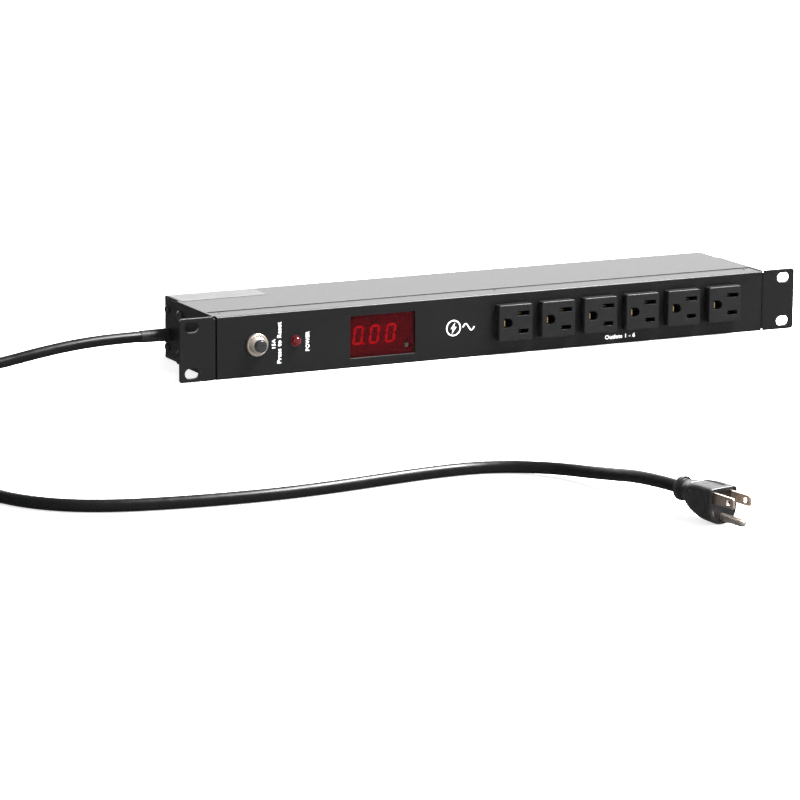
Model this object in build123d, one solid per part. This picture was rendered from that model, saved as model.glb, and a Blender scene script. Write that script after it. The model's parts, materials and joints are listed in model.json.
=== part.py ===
# Rack power strip, one rack unit high: folded steel case, two rack brackets, six
# grounded outlets, a push-to-reset breaker, a pilot lamp, a three-digit current
# meter and a power cord with a moulded plug.
# Millimetres. +Z is up, -Y is the front and +X is the right hand seen from the front.
# The origin is under the middle of the case, on the surface that it stands on.

from build123d import *
import math
import os

# ---- driving dimensions -------------------------------------------------------

panel_width = 482.6          # over both ears, the 19 inch rack standard
panel_height = 43.7          # one rack unit, less its clearance
case_width = 428.4           # between the two brackets
case_depth = 89.0            # front face to rear face
front_y = -40.0              # front face of the panel
rear_y = front_y + case_depth
sheet = 1.2                  # case steel
fit_gap = 0.1                # between folded panels that touch
bend_radius = 1.1            # outside of a fold in the case
lip_depth = 17.5             # top lip of the front panel
lip_drop = 0.4               # how far the lip sits below the cover's top
seam_gap = 0.4               # lip to cover
rear_flange_height = 9.0
half_case = case_width / 2
half_panel = panel_width / 2
seam_y = front_y + lip_depth + seam_gap
lip_top = panel_height - lip_drop
lip_under = lip_top - sheet - fit_gap

bracket_sheet = 2.0
bracket_depth = 65.0         # how far the side flange runs back
bracket_bend = 2.3           # outside of the bracket's fold
ear_corner = 1.8
relief_height = 1.5          # notch at each end of the bracket's fold
rack_spacing_x = 465.1
rack_spacing_z = 31.75
rack_slot_length = 10.6
rack_slot_width = 7.1

bracket_screw_y = front_y + 58.0
bracket_screw_heights = (7.0, 34.5)
side_screw_y = front_y + 84.5
side_screw_heights = (8.3, 34.4)
cover_screw_y = front_y + 13.0
cover_screw_places = (-207.0, 3.5, 207.0)
rear_screw_places = (-190.0, -65.0, 65.0, 190.0)
rear_screw_height = 4.9

outlet_count = 6
outlet_pitch = 33.9
first_outlet_x = 10.7
outlet_z = 23.0
outlet_face_width = 26.4
outlet_face_height = 25.7
outlet_proud = 6.5
outlet_body_width = 23.8
outlet_body_height = 23.2
outlet_body_depth = 19.0
blade_spacing = 12.7         # between the two blade slots, and on the plug
ground_offset = 11.9         # blade slots to ground hole, and on the plug
outlet_shift = ground_offset / 2
neutral_slot_length = 9.3
line_slot_length = 7.9
slot_opening = 3.1
ground_hole_radius = 3.35
slot_depth = 17.0
contact_metal = 0.5
ground_contact_metal = 0.9
ground_contact_y = front_y - 6.0
outlet_places = [first_outlet_x + outlet_pitch * n for n in range(outlet_count)]
bus_thickness = 1.2
bus_height = 4.4
bus_front_y = front_y + outlet_body_depth + 4.0
ground_bus_front_y = bus_front_y + 6.0
bus_left = outlet_places[0] - 20
bus_right = outlet_places[-1] + 14

breaker_x = -185.0
breaker_z = 22.2
button_radius = 4.15
button_proud = 9.0
button_travel = 3.5          # how far it jumps out when the breaker trips
bushing_radius = 5.6
bushing_proud = 5.2
nut_radius = 8.0
nut_height = 2.6
breaker_body_depth = 30.0

lamp_x = -155.7
lamp_z = 22.6
lamp_radius = 3.25
lamp_rim_radius = 4.1

meter_x = -89.65
meter_z = 21.3
meter_width = 49.8
meter_height = 29.4
window_thickness = 1.8
display_x = -93.4
display_y = front_y + 6.0
board_front_y = display_y + 7.0
board_thickness = 1.6
trimmer_x = -70.2
trimmer_z = 12.4
trimmer_radius = 1.9         # adjusting screw, reached through a hole in the window
trimmer_hole_radius = 2.4
trimmer_front_y = front_y + 1.9
meter_shell_width = 61.0
meter_shell_height = 36.0
meter_shell_depth = 34.0
core_radius = 8.0            # current transformer
metered_y = board_front_y + board_thickness + core_radius

wire_radius = 1.4
ground_stud_x = -160.0
ground_stud_y = 22.0
jacket_end_x = -188.0        # where the cord's jacket is stripped inside the case

cord_diameter = 7.8
cord_radius = cord_diameter / 2
cord_exit_y = 42.0
cord_exit_z = 17.3
relief_length = 22.0
relief_radius = 4.7
coil_x = -428.0
coil_outer_turn = 44.8       # centre lines of the coil's two floor turns
coil_inner_turn = 36.8
coil_turns = 3.25            # two on the floor, the rest on top of them
coil_y = cord_exit_y - coil_outer_turn
coil_top_z = 11.8
tie_width = 12.0
tie_thickness = 0.9

plug_heading = -80.0         # degrees from +X, seen from above
plug_tilt = 1.0              # nose down
plug_x = -117.5              # middle of the plug's face, on the cord's line
plug_y = -541.5
plug_axis_z = 14.2
plug_width = 21.0
plug_above_axis = 7.8
plug_below_axis = 14.0
plug_length = 37.0
blade_row_z = 2.2            # above the cord's line

label_left = -213.0
label_width = 64.0
label_depth = 26.0
label_thickness = 0.15

os.makedirs("parts", exist_ok=True)


# ---- helpers -------------------------------------------------------------------

def span(x0, x1, y0, y1, z0, z1):
    # a box between two corners
    middle = Pos((x0 + x1) / 2, (y0 + y1) / 2, (z0 + z1) / 2)
    return middle * Box(x1 - x0, y1 - y0, z1 - z0)


def rod_x(radius, x0, x1, y, z):
    return Pos((x0 + x1) / 2, y, z) * Rot(0, 90, 0) * Cylinder(radius, x1 - x0)


def rod_y(radius, y0, y1, x, z):
    return Pos(x, (y0 + y1) / 2, z) * Rot(90, 0, 0) * Cylinder(radius, y1 - y0)


def rod_z(radius, z0, z1, x, y):
    return Pos(x, y, (z0 + z1) / 2) * Cylinder(radius, z1 - z0)


def both_sides(shape):
    return [shape, mirror(shape, about=Plane.YZ)]


def save(name, *shapes):
    # one node: a single solid, or a group of separate ones
    solids = [solid for shape in shapes for solid in shape.solids()]
    node = solids[0] if len(solids) == 1 else Compound(solids)
    export_step(node, f"parts/{name}.step")


def tube(points, radius, name):
    # straight runs joined by tangent arcs, each as large as its two runs allow
    spots = [Vector(*point) for point in points]
    runs = [b - a for a, b in zip(spots, spots[1:])]
    radii = []
    for before, after in zip(runs, runs[1:]):
        half_turn = math.radians(before.get_angle(after)) / 2
        radii.append(0.45 * min(before.length, after.length) / math.tan(half_turn))
    path = FilletPolyline(*spots, radius=radii)
    start = Plane(origin=path @ 0, z_dir=path % 0)
    solid = sweep(start * Circle(radius), path=path)
    ratio = solid.volume / (math.pi * radius**2 * path.length)
    print(name, "length", round(path.length, 1), "volume ratio", round(ratio, 4))
    print(name, "radii", [round(r, 1) for r in radii])
    return solid, path.length


# ---- case ----------------------------------------------------------------------

def chassis_tray():
    # front panel, its top lip, the bottom and a low rear flange, folded in one piece
    back = rear_y - sheet - fit_gap
    tray = span(-half_case, half_case, front_y, back, 0, lip_top)
    tray = fillet(tray.edges().filter_by(Axis.X), bend_radius)
    tray -= span(-half_case - 1, half_case + 1, front_y + sheet, back - sheet,
                 sheet, lip_top - sheet)
    tray -= span(-half_case - 1, half_case + 1, front_y + lip_depth, rear_y,
                 rear_flange_height, panel_height + 1)
    for end in both_sides(span(half_case - 3, half_case + 1, back - sheet - 1, rear_y,
                               sheet, rear_flange_height + 1)):
        tray -= end
    tray -= rod_y(bushing_radius + 0.1, front_y - 1, front_y + 2, breaker_x, breaker_z)
    tray -= rod_y(lamp_radius + 0.4, front_y - 1, front_y + 2, lamp_x, lamp_z)
    tray -= span(meter_x - meter_width / 2, meter_x + meter_width / 2, front_y - 1,
                 front_y + 2, meter_z - meter_height / 2, meter_z + meter_height / 2)
    for x in outlet_places:
        tray -= span(x - outlet_body_width / 2 - 0.2, x + outlet_body_width / 2 + 0.2,
                     front_y - 1, front_y + 2, outlet_z - outlet_body_height / 2 - 0.2,
                     outlet_z + outlet_body_height / 2 + 0.2)
    for x in cover_screw_places:
        tray -= cover_screw(x, 0.05)
    for x in rear_screw_places:
        tray -= rod_y(1.6, back - 3, back + 1, x, rear_screw_height)
    tray -= rod_z(2.1, -1, sheet + 1, ground_stud_x, ground_stud_y)
    return tray


def top_cover():
    # top plate and rear wall, with a tongue stepped down under the front lip
    tongue = half_case - 14
    cover = span(-half_case, half_case, seam_y, rear_y, 0, panel_height)
    rear_top = cover.edges().filter_by(Axis.X).group_by(Axis.Y)[-1]
    cover = fillet(rear_top, bend_radius)
    cover -= span(-half_case - 1, half_case + 1, seam_y - 1, rear_y - sheet,
                  -1, panel_height - sheet)
    low = lip_under - sheet
    cover += span(-tongue, tongue, seam_y, seam_y + 3, low, panel_height - sheet / 2)
    cover += span(-tongue, tongue, front_y + 7, seam_y + 3, low, lip_under)
    inner = half_case - sheet - fit_gap
    for z in side_screw_heights:
        for tab in both_sides(span(inner - sheet, inner, rear_y - 13, rear_y - sheet / 2,
                                   z - 3.2, z + 3.2)):
            cover += tab
    for z in side_screw_heights:
        cover -= rod_x(1.6, -half_case, half_case, side_screw_y, z)
    for x in cover_screw_places:
        cover -= cover_screw(x, 0.05)
    for x in rear_screw_places:
        cover -= rear_screw(x, 0.05)
    return cover


def end_plate(side):
    # closes one end, with two flanges turned inwards; the left one holds the cord
    outer = half_case
    inner = half_case - sheet
    front = front_y + sheet + fit_gap
    back = rear_y - sheet - fit_gap
    floor = sheet + fit_gap
    plate = span(inner, outer, front, back, floor, lip_under)
    plate += span(inner - 9, inner + 0.5, seam_y + 6, back - 16, floor, floor + sheet)
    plate += span(inner - 9, inner + 0.5, seam_y + 6, back - 16, lip_under - sheet,
                  lip_under)
    for z in side_screw_heights:
        plate -= rod_x(1.7, inner - 1, outer + 1, side_screw_y, z)
    for z in bracket_screw_heights:
        plate -= rod_x(2.1, inner - 1, outer + 1, bracket_screw_y, z)
    if side > 0:
        return plate
    plate = mirror(plate, about=Plane.YZ)
    return plate - rod_x(relief_radius + 0.05, -outer - 1, -inner + 1, cord_exit_y, cord_exit_z)


def rack_bracket():
    # right-hand bracket: an ear with two slots and a flange along the case's side
    outer_x = half_case + bracket_sheet
    ear = span(half_case, half_panel, front_y, front_y + bracket_sheet, 0, panel_height)
    corners = ear.edges().filter_by(Axis.Y).group_by(Axis.X)[-1]
    ear = fillet(corners, ear_corner)
    flange = span(half_case, outer_x, front_y, front_y + bracket_depth, 0, panel_height)
    corners = flange.edges().filter_by(Axis.X).group_by(Axis.Y)[-1]
    flange = fillet(corners, ear_corner)
    bracket = ear + flange
    fold = [edge for edge in bracket.edges().filter_by(Axis.Z)
            if abs(edge.center().X - half_case) < 0.01
            and abs(edge.center().Y - front_y) < 0.01]
    bracket = fillet(fold, bracket_bend)
    notch = bracket_bend + 0.4
    for low in (-1, panel_height - relief_height):
        bracket -= span(half_case - 1, half_case + notch, front_y - 1, front_y + notch,
                        low, low + 1 + relief_height)
    for z in (panel_height / 2 - rack_spacing_z / 2, panel_height / 2 + rack_spacing_z / 2):
        flat = (rack_slot_length - rack_slot_width) / 2
        x = rack_spacing_x / 2
        near, far = front_y - 1, front_y + bracket_sheet + 1
        slot = span(x - flat, x + flat, near, far,
                    z - rack_slot_width / 2, z + rack_slot_width / 2)
        slot += rod_y(rack_slot_width / 2, near, far, x - flat, z)
        slot += rod_y(rack_slot_width / 2, near, far, x + flat, z)
        bracket -= slot
    for z in bracket_screw_heights:
        bracket -= rod_x(2.1, half_case - 1, outer_x + 1, bracket_screw_y, z)
    return bracket


# ---- fasteners -----------------------------------------------------------------

def cross_recess(size, depth):
    # a cross slot to cut from a head that faces +Z, its top at the origin
    return (Pos(0, 0, -depth / 2) * Box(size, size * 0.26, depth)
            + Pos(0, 0, -depth / 2) * Box(size * 0.26, size, depth))


def pan_screw(thread_radius, head_radius, head_height, length):
    # points up: the head's seat at the origin, the thread below it
    head = Pos(0, 0, head_height / 2) * Cylinder(head_radius, head_height)
    head = fillet(head.edges().group_by(Axis.Z)[-1], head_height * 0.6)
    head -= Pos(0, 0, head_height) * cross_recess(head_radius * 1.15, head_height * 0.55)
    return head + Pos(0, 0, -length / 2) * Cylinder(thread_radius, length)


def flush_screw(head_radius, thread_radius, length, spare):
    # countersunk: its flat top at the origin; spare makes the hole for it
    cone_height = head_radius - thread_radius
    head = Pos(0, 0, -cone_height / 2) * Cone(
        thread_radius + spare, head_radius + spare, cone_height)
    screw = head + Pos(0, 0, -length / 2) * Cylinder(thread_radius + spare, length)
    if spare:
        return screw
    return screw - cross_recess(head_radius * 1.1, cone_height * 0.5)


def cover_screw(x, spare=0):
    return Pos(x, cover_screw_y, lip_top) * flush_screw(2.9, 1.5, 6.0, spare)


def rear_screw(x, spare=0):
    return (Pos(x, rear_y, rear_screw_height) * Rot(-90, 0, 0)
            * flush_screw(2.6, 1.5, 5.0, spare))


def side_screws():
    screws = []
    for z in side_screw_heights:
        place = Pos(half_case, side_screw_y, z) * Rot(0, 90, 0)
        screws += both_sides(place * pan_screw(1.5, 2.9, 1.9, 5.0))
    return screws


def bracket_screws():
    screws = []
    for z in bracket_screw_heights:
        place = Pos(half_case + bracket_sheet, bracket_screw_y, z) * Rot(0, 90, 0)
        screws += both_sides(place * pan_screw(2.0, 3.7, 2.3, 8.0))
    return screws


def bracket_nuts():
    nuts = []
    for z in bracket_screw_heights:
        x = half_case - sheet
        nut = extrude(RegularPolygon(3.9, 6), 2.6) - Pos(0, 0, 1.3) * Cylinder(2.05, 3)
        nuts += both_sides(Pos(x, bracket_screw_y, z) * Rot(0, -90, 0) * nut)
    return nuts


# ---- outlets -------------------------------------------------------------------

def ground_hole(x, z, radius, y0, y1):
    # round on the right, flat on the left
    hole = rod_y(radius, y0, y1, x, z)
    return hole + span(x - radius, x, y0, y1, z - radius, z + radius)


def outlet_housing(x):
    face_front = front_y - outlet_proud
    face = span(x - outlet_face_width / 2, x + outlet_face_width / 2, face_front, front_y,
                outlet_z - outlet_face_height / 2, outlet_z + outlet_face_height / 2)
    face = fillet(face.edges().filter_by(Axis.Y), 1.4)
    face = fillet(face.faces().sort_by(Axis.Y)[0].edges(), 0.7)
    half_w, half_h = outlet_body_width / 2, outlet_body_height / 2
    back = front_y + outlet_body_depth
    body = span(x - half_w, x + half_w, front_y - 1, back,
                outlet_z - half_h, outlet_z + half_h)
    body = chamfer(body.faces().sort_by(Axis.Y)[-1].edges(), 0.8)
    housing = face + body
    for side in (-1, 1):
        # snap hooks that spring out behind the panel
        hook_x = x + side * half_w
        housing += span(hook_x - 0.6, hook_x + 0.6, front_y + sheet + fit_gap,
                        front_y + 5, outlet_z - 4, outlet_z + 4)
    end = face_front + slot_depth
    blade_x = x + outlet_shift
    for z, length in ((outlet_z + blade_spacing / 2, neutral_slot_length),
                      (outlet_z - blade_spacing / 2, line_slot_length)):
        housing -= span(blade_x - length / 2, blade_x + length / 2, face_front - 1, end,
                        z - slot_opening / 2, z + slot_opening / 2)
        low = z - slot_opening / 2
        housing -= span(blade_x - 2.1, blade_x + 2.1, front_y, back + 1,
                        low - fit_gap, low + contact_metal + fit_gap)
    ground_x = x - outlet_shift
    housing -= ground_hole(ground_x, outlet_z, ground_hole_radius, face_front - 1, end)
    left = ground_x - ground_hole_radius
    housing -= span(left - fit_gap, left + ground_contact_metal + fit_gap, front_y,
                    back + 1, outlet_z - 2.1, outlet_z + 2.1)
    return housing


def outlet_contacts(x):
    # three brass strips, one in each opening, that run back to the bus bars
    blade_x = x + outlet_shift
    strips = []
    for z in (outlet_z + blade_spacing / 2, outlet_z - blade_spacing / 2):
        low = z - slot_opening / 2
        strips.append(span(blade_x - 2.0, blade_x + 2.0, front_y + 0.5, bus_front_y,
                           low, low + contact_metal))
    left = x - outlet_shift - ground_hole_radius
    strips.append(span(left, left + ground_contact_metal, ground_contact_y,
                       ground_bus_front_y, outlet_z - 2.0, outlet_z + 2.0))
    return strips


def bus_bar(z, front):
    return span(bus_left, bus_right, front, front + bus_thickness,
                z - bus_height / 2, z + bus_height / 2)


def bus_carrier():
    # moulded insulator behind the outlets; the three bus bars press into its channels
    carrier = span(bus_left + 12, bus_right + 2, bus_front_y + bus_thickness + 0.1,
                   ground_bus_front_y + bus_thickness + 2.5, 11.0, 35.0)
    carrier -= span(bus_left - 1, bus_right + 3, bus_front_y, ground_bus_front_y
                    + bus_thickness + 0.1, outlet_z - 2.6, outlet_z + 2.6)
    return carrier


# ---- breaker and lamp ----------------------------------------------------------

def breaker_body():
    start = front_y + sheet
    body = span(breaker_x - 8.2, breaker_x + 8.2, start, start + breaker_body_depth,
                breaker_z - 15, breaker_z + 15)
    body = fillet(body.edges().filter_by(Axis.Y), 1.2)
    body -= rod_y(bushing_radius + fit_gap, start - 1, start + 3, breaker_x, breaker_z)
    body -= rod_y(3.2, start, start + 17, breaker_x, breaker_z)
    for z in (breaker_z - 8, breaker_z + 8):
        body -= span(breaker_x - 3.3, breaker_x + 3.3, start + breaker_body_depth - 6,
                     start + breaker_body_depth + 1, z - 0.5, z + 0.5)
    return body


def breaker_bushing():
    # threaded neck through the panel, stepped at its mouth, with grooves for a thread
    base = front_y + sheet + 3
    neck = rod_y(bushing_radius, front_y - bushing_proud, base, breaker_x, breaker_z)
    neck = chamfer(neck.edges().group_by(Axis.Y)[0], 0.5)
    neck += rod_y(bushing_radius - 0.7, front_y - bushing_proud - 1.1, base, breaker_x,
                  breaker_z)
    bore = button_radius + 0.2
    neck -= rod_y(bore, front_y - 10, base - 1.5, breaker_x, breaker_z)
    neck -= rod_y(2.7, front_y - 10, base + 1, breaker_x, breaker_z)
    groove_pitch = 0.75
    for n in range(3):
        y = front_y - nut_height - 0.6 - groove_pitch * n
        ring = rod_y(bushing_radius + 1, y - 0.3, y, breaker_x, breaker_z)
        neck -= ring - rod_y(bushing_radius - 0.3, y - 1, y + 1, breaker_x, breaker_z)
    return neck


def breaker_nut():
    nut = rod_y(nut_radius, front_y - nut_height, front_y, breaker_x, breaker_z)
    nut = fillet(nut.edges().group_by(Axis.Y)[0], 0.9)
    return nut - rod_y(bushing_radius + 0.05, front_y - 5, front_y + 1,
                       breaker_x, breaker_z)


def breaker_button():
    front = front_y - button_proud
    head = rod_y(button_radius, front, front_y + 1.6 - button_travel / 2, breaker_x,
                 breaker_z)
    head = fillet(head.edges().group_by(Axis.Y)[0], 0.8)
    return head + rod_y(2.4, front + 2, front_y + 15, breaker_x, breaker_z)


def breaker_terminals():
    back = front_y + sheet + breaker_body_depth
    return [span(breaker_x - 3.15, breaker_x + 3.15, back - 6, back + 7.5, z - 0.4, z + 0.4)
            for z in (breaker_z - 8, breaker_z + 8)]


def lamp_lens():
    rim = rod_y(lamp_rim_radius, front_y - 0.8, front_y, lamp_x, lamp_z)
    barrel = rod_y(lamp_radius, front_y - 1.2, front_y + 3, lamp_x, lamp_z)
    dome = Pos(lamp_x, front_y - 1.2, lamp_z) * Sphere(lamp_radius)
    dome &= rod_y(lamp_radius + 1, front_y - 6, front_y - 1.2, lamp_x, lamp_z)
    return rim + barrel + dome


def lamp_holder():
    holder = rod_y(lamp_radius + 0.35, front_y, front_y + 20, lamp_x, lamp_z)
    holder -= rod_y(lamp_radius + 0.02, front_y - 1, front_y + 3, lamp_x, lamp_z)
    for side in (-1, 1):
        holder += rod_y(0.5, front_y + 19, front_y + 26, lamp_x + 1.3 * side, lamp_z)
    return holder


def lamp_clip():
    # push-on ring behind the panel
    clip = rod_y(6.2, front_y + sheet, front_y + sheet + 1.2, lamp_x, lamp_z)
    return clip - rod_y(lamp_radius + 0.4, front_y, front_y + 5, lamp_x, lamp_z)


# ---- meter ---------------------------------------------------------------------

def meter_window():
    # tinted plate with a hole for a screwdriver to reach the trimmer
    back = front_y + sheet + fit_gap
    plate = span(meter_x - meter_width / 2 - 2.5, meter_x + meter_width / 2 + 2.5, back,
                 back + window_thickness, meter_z - meter_height / 2 - 1.8,
                 meter_z + meter_height / 2 + 1.8)
    return plate - rod_y(trimmer_hole_radius, back - 1, back + 3, trimmer_x, trimmer_z)


def meter_shell():
    # open-fronted box: the window sits in a step at its mouth, the board on a ledge
    front = front_y + sheet + fit_gap
    half_w, half_h = meter_shell_width / 2, meter_shell_height / 2
    shell = span(meter_x - half_w, meter_x + half_w, front, front + meter_shell_depth,
                 meter_z - half_h, meter_z + half_h)
    shell = fillet(shell.edges().filter_by(Axis.Y), 1.5)
    rebate_w, rebate_h = meter_width / 2 + 2.55, meter_height / 2 + 1.85
    shell -= span(meter_x - rebate_w, meter_x + rebate_w, front - 1,
                  front + window_thickness + 0.05, meter_z - rebate_h, meter_z + rebate_h)
    shell -= span(meter_x - rebate_w + 1.5, meter_x + rebate_w - 1.5, front - 1,
                  front + meter_shell_depth - 1.6, meter_z - rebate_h + 1.5,
                  meter_z + rebate_h - 1.5)
    # the measured wire goes through both side walls
    return shell - rod_x(2.6, meter_x - half_w - 1, meter_x + half_w + 1, metered_y, meter_z)


def meter_board():
    half_w, half_h = meter_width / 2 + 0.9, meter_height / 2 + 0.2
    return span(meter_x - half_w, meter_x + half_w, board_front_y,
                board_front_y + board_thickness, meter_z - half_h, meter_z + half_h)


def meter_display():
    block = span(display_x - 18.8, display_x + 18.8, display_y, board_front_y,
                 meter_z - 9.5, meter_z + 9.5)
    return chamfer(block.faces().sort_by(Axis.Y)[0].edges(), 0.3)


def trimmer_base():
    base = span(trimmer_x - 3.3, trimmer_x + 3.3, display_y + 2.2, board_front_y,
                trimmer_z - 3.3, trimmer_z + 3.3)
    return base - rod_y(2.2, display_y, display_y + 4.4, trimmer_x, trimmer_z)


def trimmer_rotor():
    # adjusting screw with a slotted, rounded head that stands in the window's hole
    rotor = rod_y(trimmer_radius, trimmer_front_y, display_y + 4.2, trimmer_x, trimmer_z)
    rotor = fillet(rotor.edges().group_by(Axis.Y)[0], 0.6)
    slot = span(trimmer_x - 2.5, trimmer_x + 2.5, trimmer_front_y - 1,
                trimmer_front_y + 0.9, trimmer_z - 0.35, trimmer_z + 0.35)
    return rotor - Pos(trimmer_x, 0, trimmer_z) * Rot(0, 35, 0) * Pos(
        -trimmer_x, 0, -trimmer_z) * slot


def current_transformer():
    # ring core standing on the back of the board; the line wire goes through it
    ring = rod_x(core_radius, meter_x + 3, meter_x + 10, metered_y, meter_z)
    return ring - rod_x(3.2, meter_x, meter_x + 12, metered_y, meter_z)


# ---- wiring --------------------------------------------------------------------

def ground_stud():
    screw = rod_z(2.0, 0.6, 11, ground_stud_x, ground_stud_y)
    return screw + rod_z(3.9, sheet, 3.0, ground_stud_x, ground_stud_y)


def ground_nut():
    nut = Pos(ground_stud_x, ground_stud_y, 5.4) * extrude(RegularPolygon(3.9, 6), 3.0)
    return nut - rod_z(2.05, 5, 9, ground_stud_x, ground_stud_y)


def ground_lugs():
    # two ring terminals clamped on the stud, one over the other
    lugs = []
    for z, end in ((3.05, -1), (4.2, 1)):
        lug = rod_z(4.0, z, z + 1.1, ground_stud_x, ground_stud_y)
        lug += span(*sorted((ground_stud_x, ground_stud_x + end * 10)),
                    ground_stud_y - 2, ground_stud_y + 2, z, z + 1.1)
        lugs.append(lug - rod_z(2.05, z - 1, z + 2, ground_stud_x, ground_stud_y))
    return lugs


def cord_jacket_end():
    # the outer jacket's last stretch inside the case, up to where it is stripped
    return rod_x(cord_radius, -half_case + sheet + 2.6, jacket_end_x, cord_exit_y,
                 cord_exit_z)


breaker_tab_y = front_y + sheet + breaker_body_depth + 7.5
strip_x = jacket_end_x + 5   # where the three wires leave the jacket's line
bus_end_y = bus_front_y + bus_thickness / 2
wire_routes = {
    "wire_line_in": [
        (jacket_end_x, cord_exit_y + 0.2, cord_exit_z + 1.9),
        (strip_x, cord_exit_y + 0.2, cord_exit_z + 1.9),
        (-175, 38, 24),
        (-173, 29, 28),
        (-177, 18, breaker_z + 8.1),
        (breaker_x, 9, breaker_z + 8),
        (breaker_x, breaker_tab_y, breaker_z + 8)],
    "wire_line_metered": [
        (breaker_x, breaker_tab_y, breaker_z - 8),
        (breaker_x, 8, breaker_z - 8),
        (-173, 15, 14.8),
        (-153, 10, 18),
        (-138, -7, 20.5),
        (-127, metered_y, meter_z),
        (-48, metered_y, meter_z),
        (-30, metered_y + 0.4, 17),
        (-18, bus_end_y, 15.6),
        (bus_left, bus_end_y, 15.6)],
    "wire_neutral": [
        (jacket_end_x, cord_exit_y - 1.6, cord_exit_z - 1.2),
        (strip_x, cord_exit_y - 1.6, cord_exit_z - 1.2),
        (-160, 39, 18),
        (-130, 38, 23),
        (-98, 34, 26),
        (-66, 22, 28),
        (-42, 3, 29),
        (-24, bus_end_y, 28.3),
        (bus_left, bus_end_y, 28.3)],
    "wire_ground_in": [
        (jacket_end_x, cord_exit_y + 1.6, cord_exit_z - 1.4),
        (strip_x, cord_exit_y + 1.6, cord_exit_z - 1.4),
        (-178, 40, 9),
        (-178, 31, 4.4),
        (-176, ground_stud_y, 3.6),
        (ground_stud_x - 10, ground_stud_y, 3.6)],
    "wire_ground_out": [
        (ground_stud_x + 10, ground_stud_y, 4.75),
        (-136, ground_stud_y, 4.75),
        (-104, 20, 8),
        (-66, 14, 13),
        (-38, 2, 19),
        (-22, ground_bus_front_y + bus_thickness / 2, 23),
        (bus_left, ground_bus_front_y + bus_thickness / 2, 23)],
}


# ---- cord and plug -------------------------------------------------------------

def cord_strain_relief():
    # a collar inside the end plate, a waist through it and a tapered sleeve outside
    inner = -half_case + sheet
    relief = rod_x(5.5, inner + 0.1, inner + 2.6, cord_exit_y, cord_exit_z)
    relief += rod_x(relief_radius, -half_case - 0.5, inner + 2.6, cord_exit_y, cord_exit_z)
    taper = Rot(0, -90, 0) * Cone(relief_radius, cord_radius + 0.3, relief_length)
    middle = -half_case - relief_length / 2
    return relief + Pos(middle, cord_exit_y, cord_exit_z) * taper


def plug_frame():
    # the plug's own frame: +X out of its face, the origin on the cord's line there
    return Pos(plug_x, plug_y, plug_axis_z) * Rot(0, 0, plug_heading) * Rot(0, plug_tilt, 0)


relief_end_x = -half_case - relief_length
floor_z = cord_radius
plug_back = (plug_frame() * Pos(-plug_length, 0, 0)).position
behind_plug = (plug_frame() * Pos(-plug_length - 31, 0, 0)).position
coil_west_x = coil_x - coil_outer_turn

lead_points = [
    (relief_end_x, cord_exit_y, cord_exit_z),
    (-255, cord_exit_y, cord_exit_z),
    (-282, 41.7, 16.0),
    (-309, 41.6, 12.6),
    (-333, 42.3, 8.2),
    (-356, 41.9, 4.9),
    (-382, 42.2, 4.2),
    (-407, coil_y + coil_outer_turn, floor_z),
    (coil_x, coil_y + coil_outer_turn, floor_z),
]

run_points = [
    (coil_west_x, coil_y, coil_top_z),
    (coil_west_x, coil_y - 26, coil_top_z),
    (coil_west_x - 1.4, coil_y - 54, 11.2),
    (coil_west_x - 4.5, coil_y - 84, 6.4),
    (coil_west_x - 8, coil_y - 116, floor_z),
    (coil_west_x - 12.5, coil_y - 152, floor_z),
    (coil_west_x - 15.5, coil_y - 190, floor_z),
    (coil_west_x - 16.5, coil_y - 226, floor_z),
    (coil_west_x - 14.5, coil_y - 260, floor_z),
    (coil_west_x - 9, coil_y - 293, floor_z),
    (-470.5, -329, floor_z),
    (-451, -352, floor_z),
    (-425, -365.5, floor_z),
    (-391, -373, floor_z),
    (-354, -377, floor_z),
    (-317, -377.8, floor_z),
    (-280, -374.3, floor_z),
    (-245, -368.8, floor_z),
    (-212, -364.8, floor_z),
    (-184, -365, floor_z),
    (-161, -374.5, floor_z + 0.2),
    (-143.5, -395, floor_z + 1.4),
    (-134.5, -429, floor_z + 4.6),
    (behind_plug.X, behind_plug.Y, behind_plug.Z),
    (plug_back.X, plug_back.Y, plug_back.Z),
]


def cord_tie():
    # strap round all the turns at the coil's front, its top corners cut to fit them
    spare = 0.3
    low_y = coil_y - coil_outer_turn - cord_radius - spare - tie_thickness
    high_y = coil_y - coil_inner_turn + cord_radius + spare + tie_thickness
    high_z = coil_top_z + cord_radius + 2 * tie_thickness + spare
    across = (coil_x - tie_width / 2, coil_x + tie_width / 2)
    strap = span(*across, low_y, high_y, 0, high_z)
    strap = chamfer(strap.edges().filter_by(Axis.X).group_by(Axis.Z)[-1], 4.5)
    window = span(across[0] - 1, across[1] + 1, low_y + tie_thickness,
                  high_y - tie_thickness, tie_thickness, high_z - tie_thickness)
    return strap - chamfer(window.edges().filter_by(Axis.X).group_by(Axis.Z)[-1], 4.1)


def cord_coil():
    # the outer shape of the turns, less a notch for the strap that holds them
    outer = coil_outer_turn + cord_radius + 0.3
    inner = coil_inner_turn - cord_radius - 0.3
    top = coil_top_z + cord_radius
    ring = rod_z(outer, 0, top, coil_x, coil_y) - rod_z(inner, -1, top + 1, coil_x, coil_y)
    ring = chamfer(ring.edges().group_by(Axis.Z)[-1], 2.5) - cord_tie()
    clear = cord_radius + 0.4
    # a step for the cord coming in, and one for the cord going out
    ring -= span(coil_x, coil_x + 60, cord_exit_y - clear, cord_exit_y + 20,
                 -1, floor_z + clear)
    ring -= span(coil_west_x - clear - 20, coil_west_x + clear, coil_y - 60, coil_y,
                 coil_top_z - clear, top + 1)
    return ring


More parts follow.
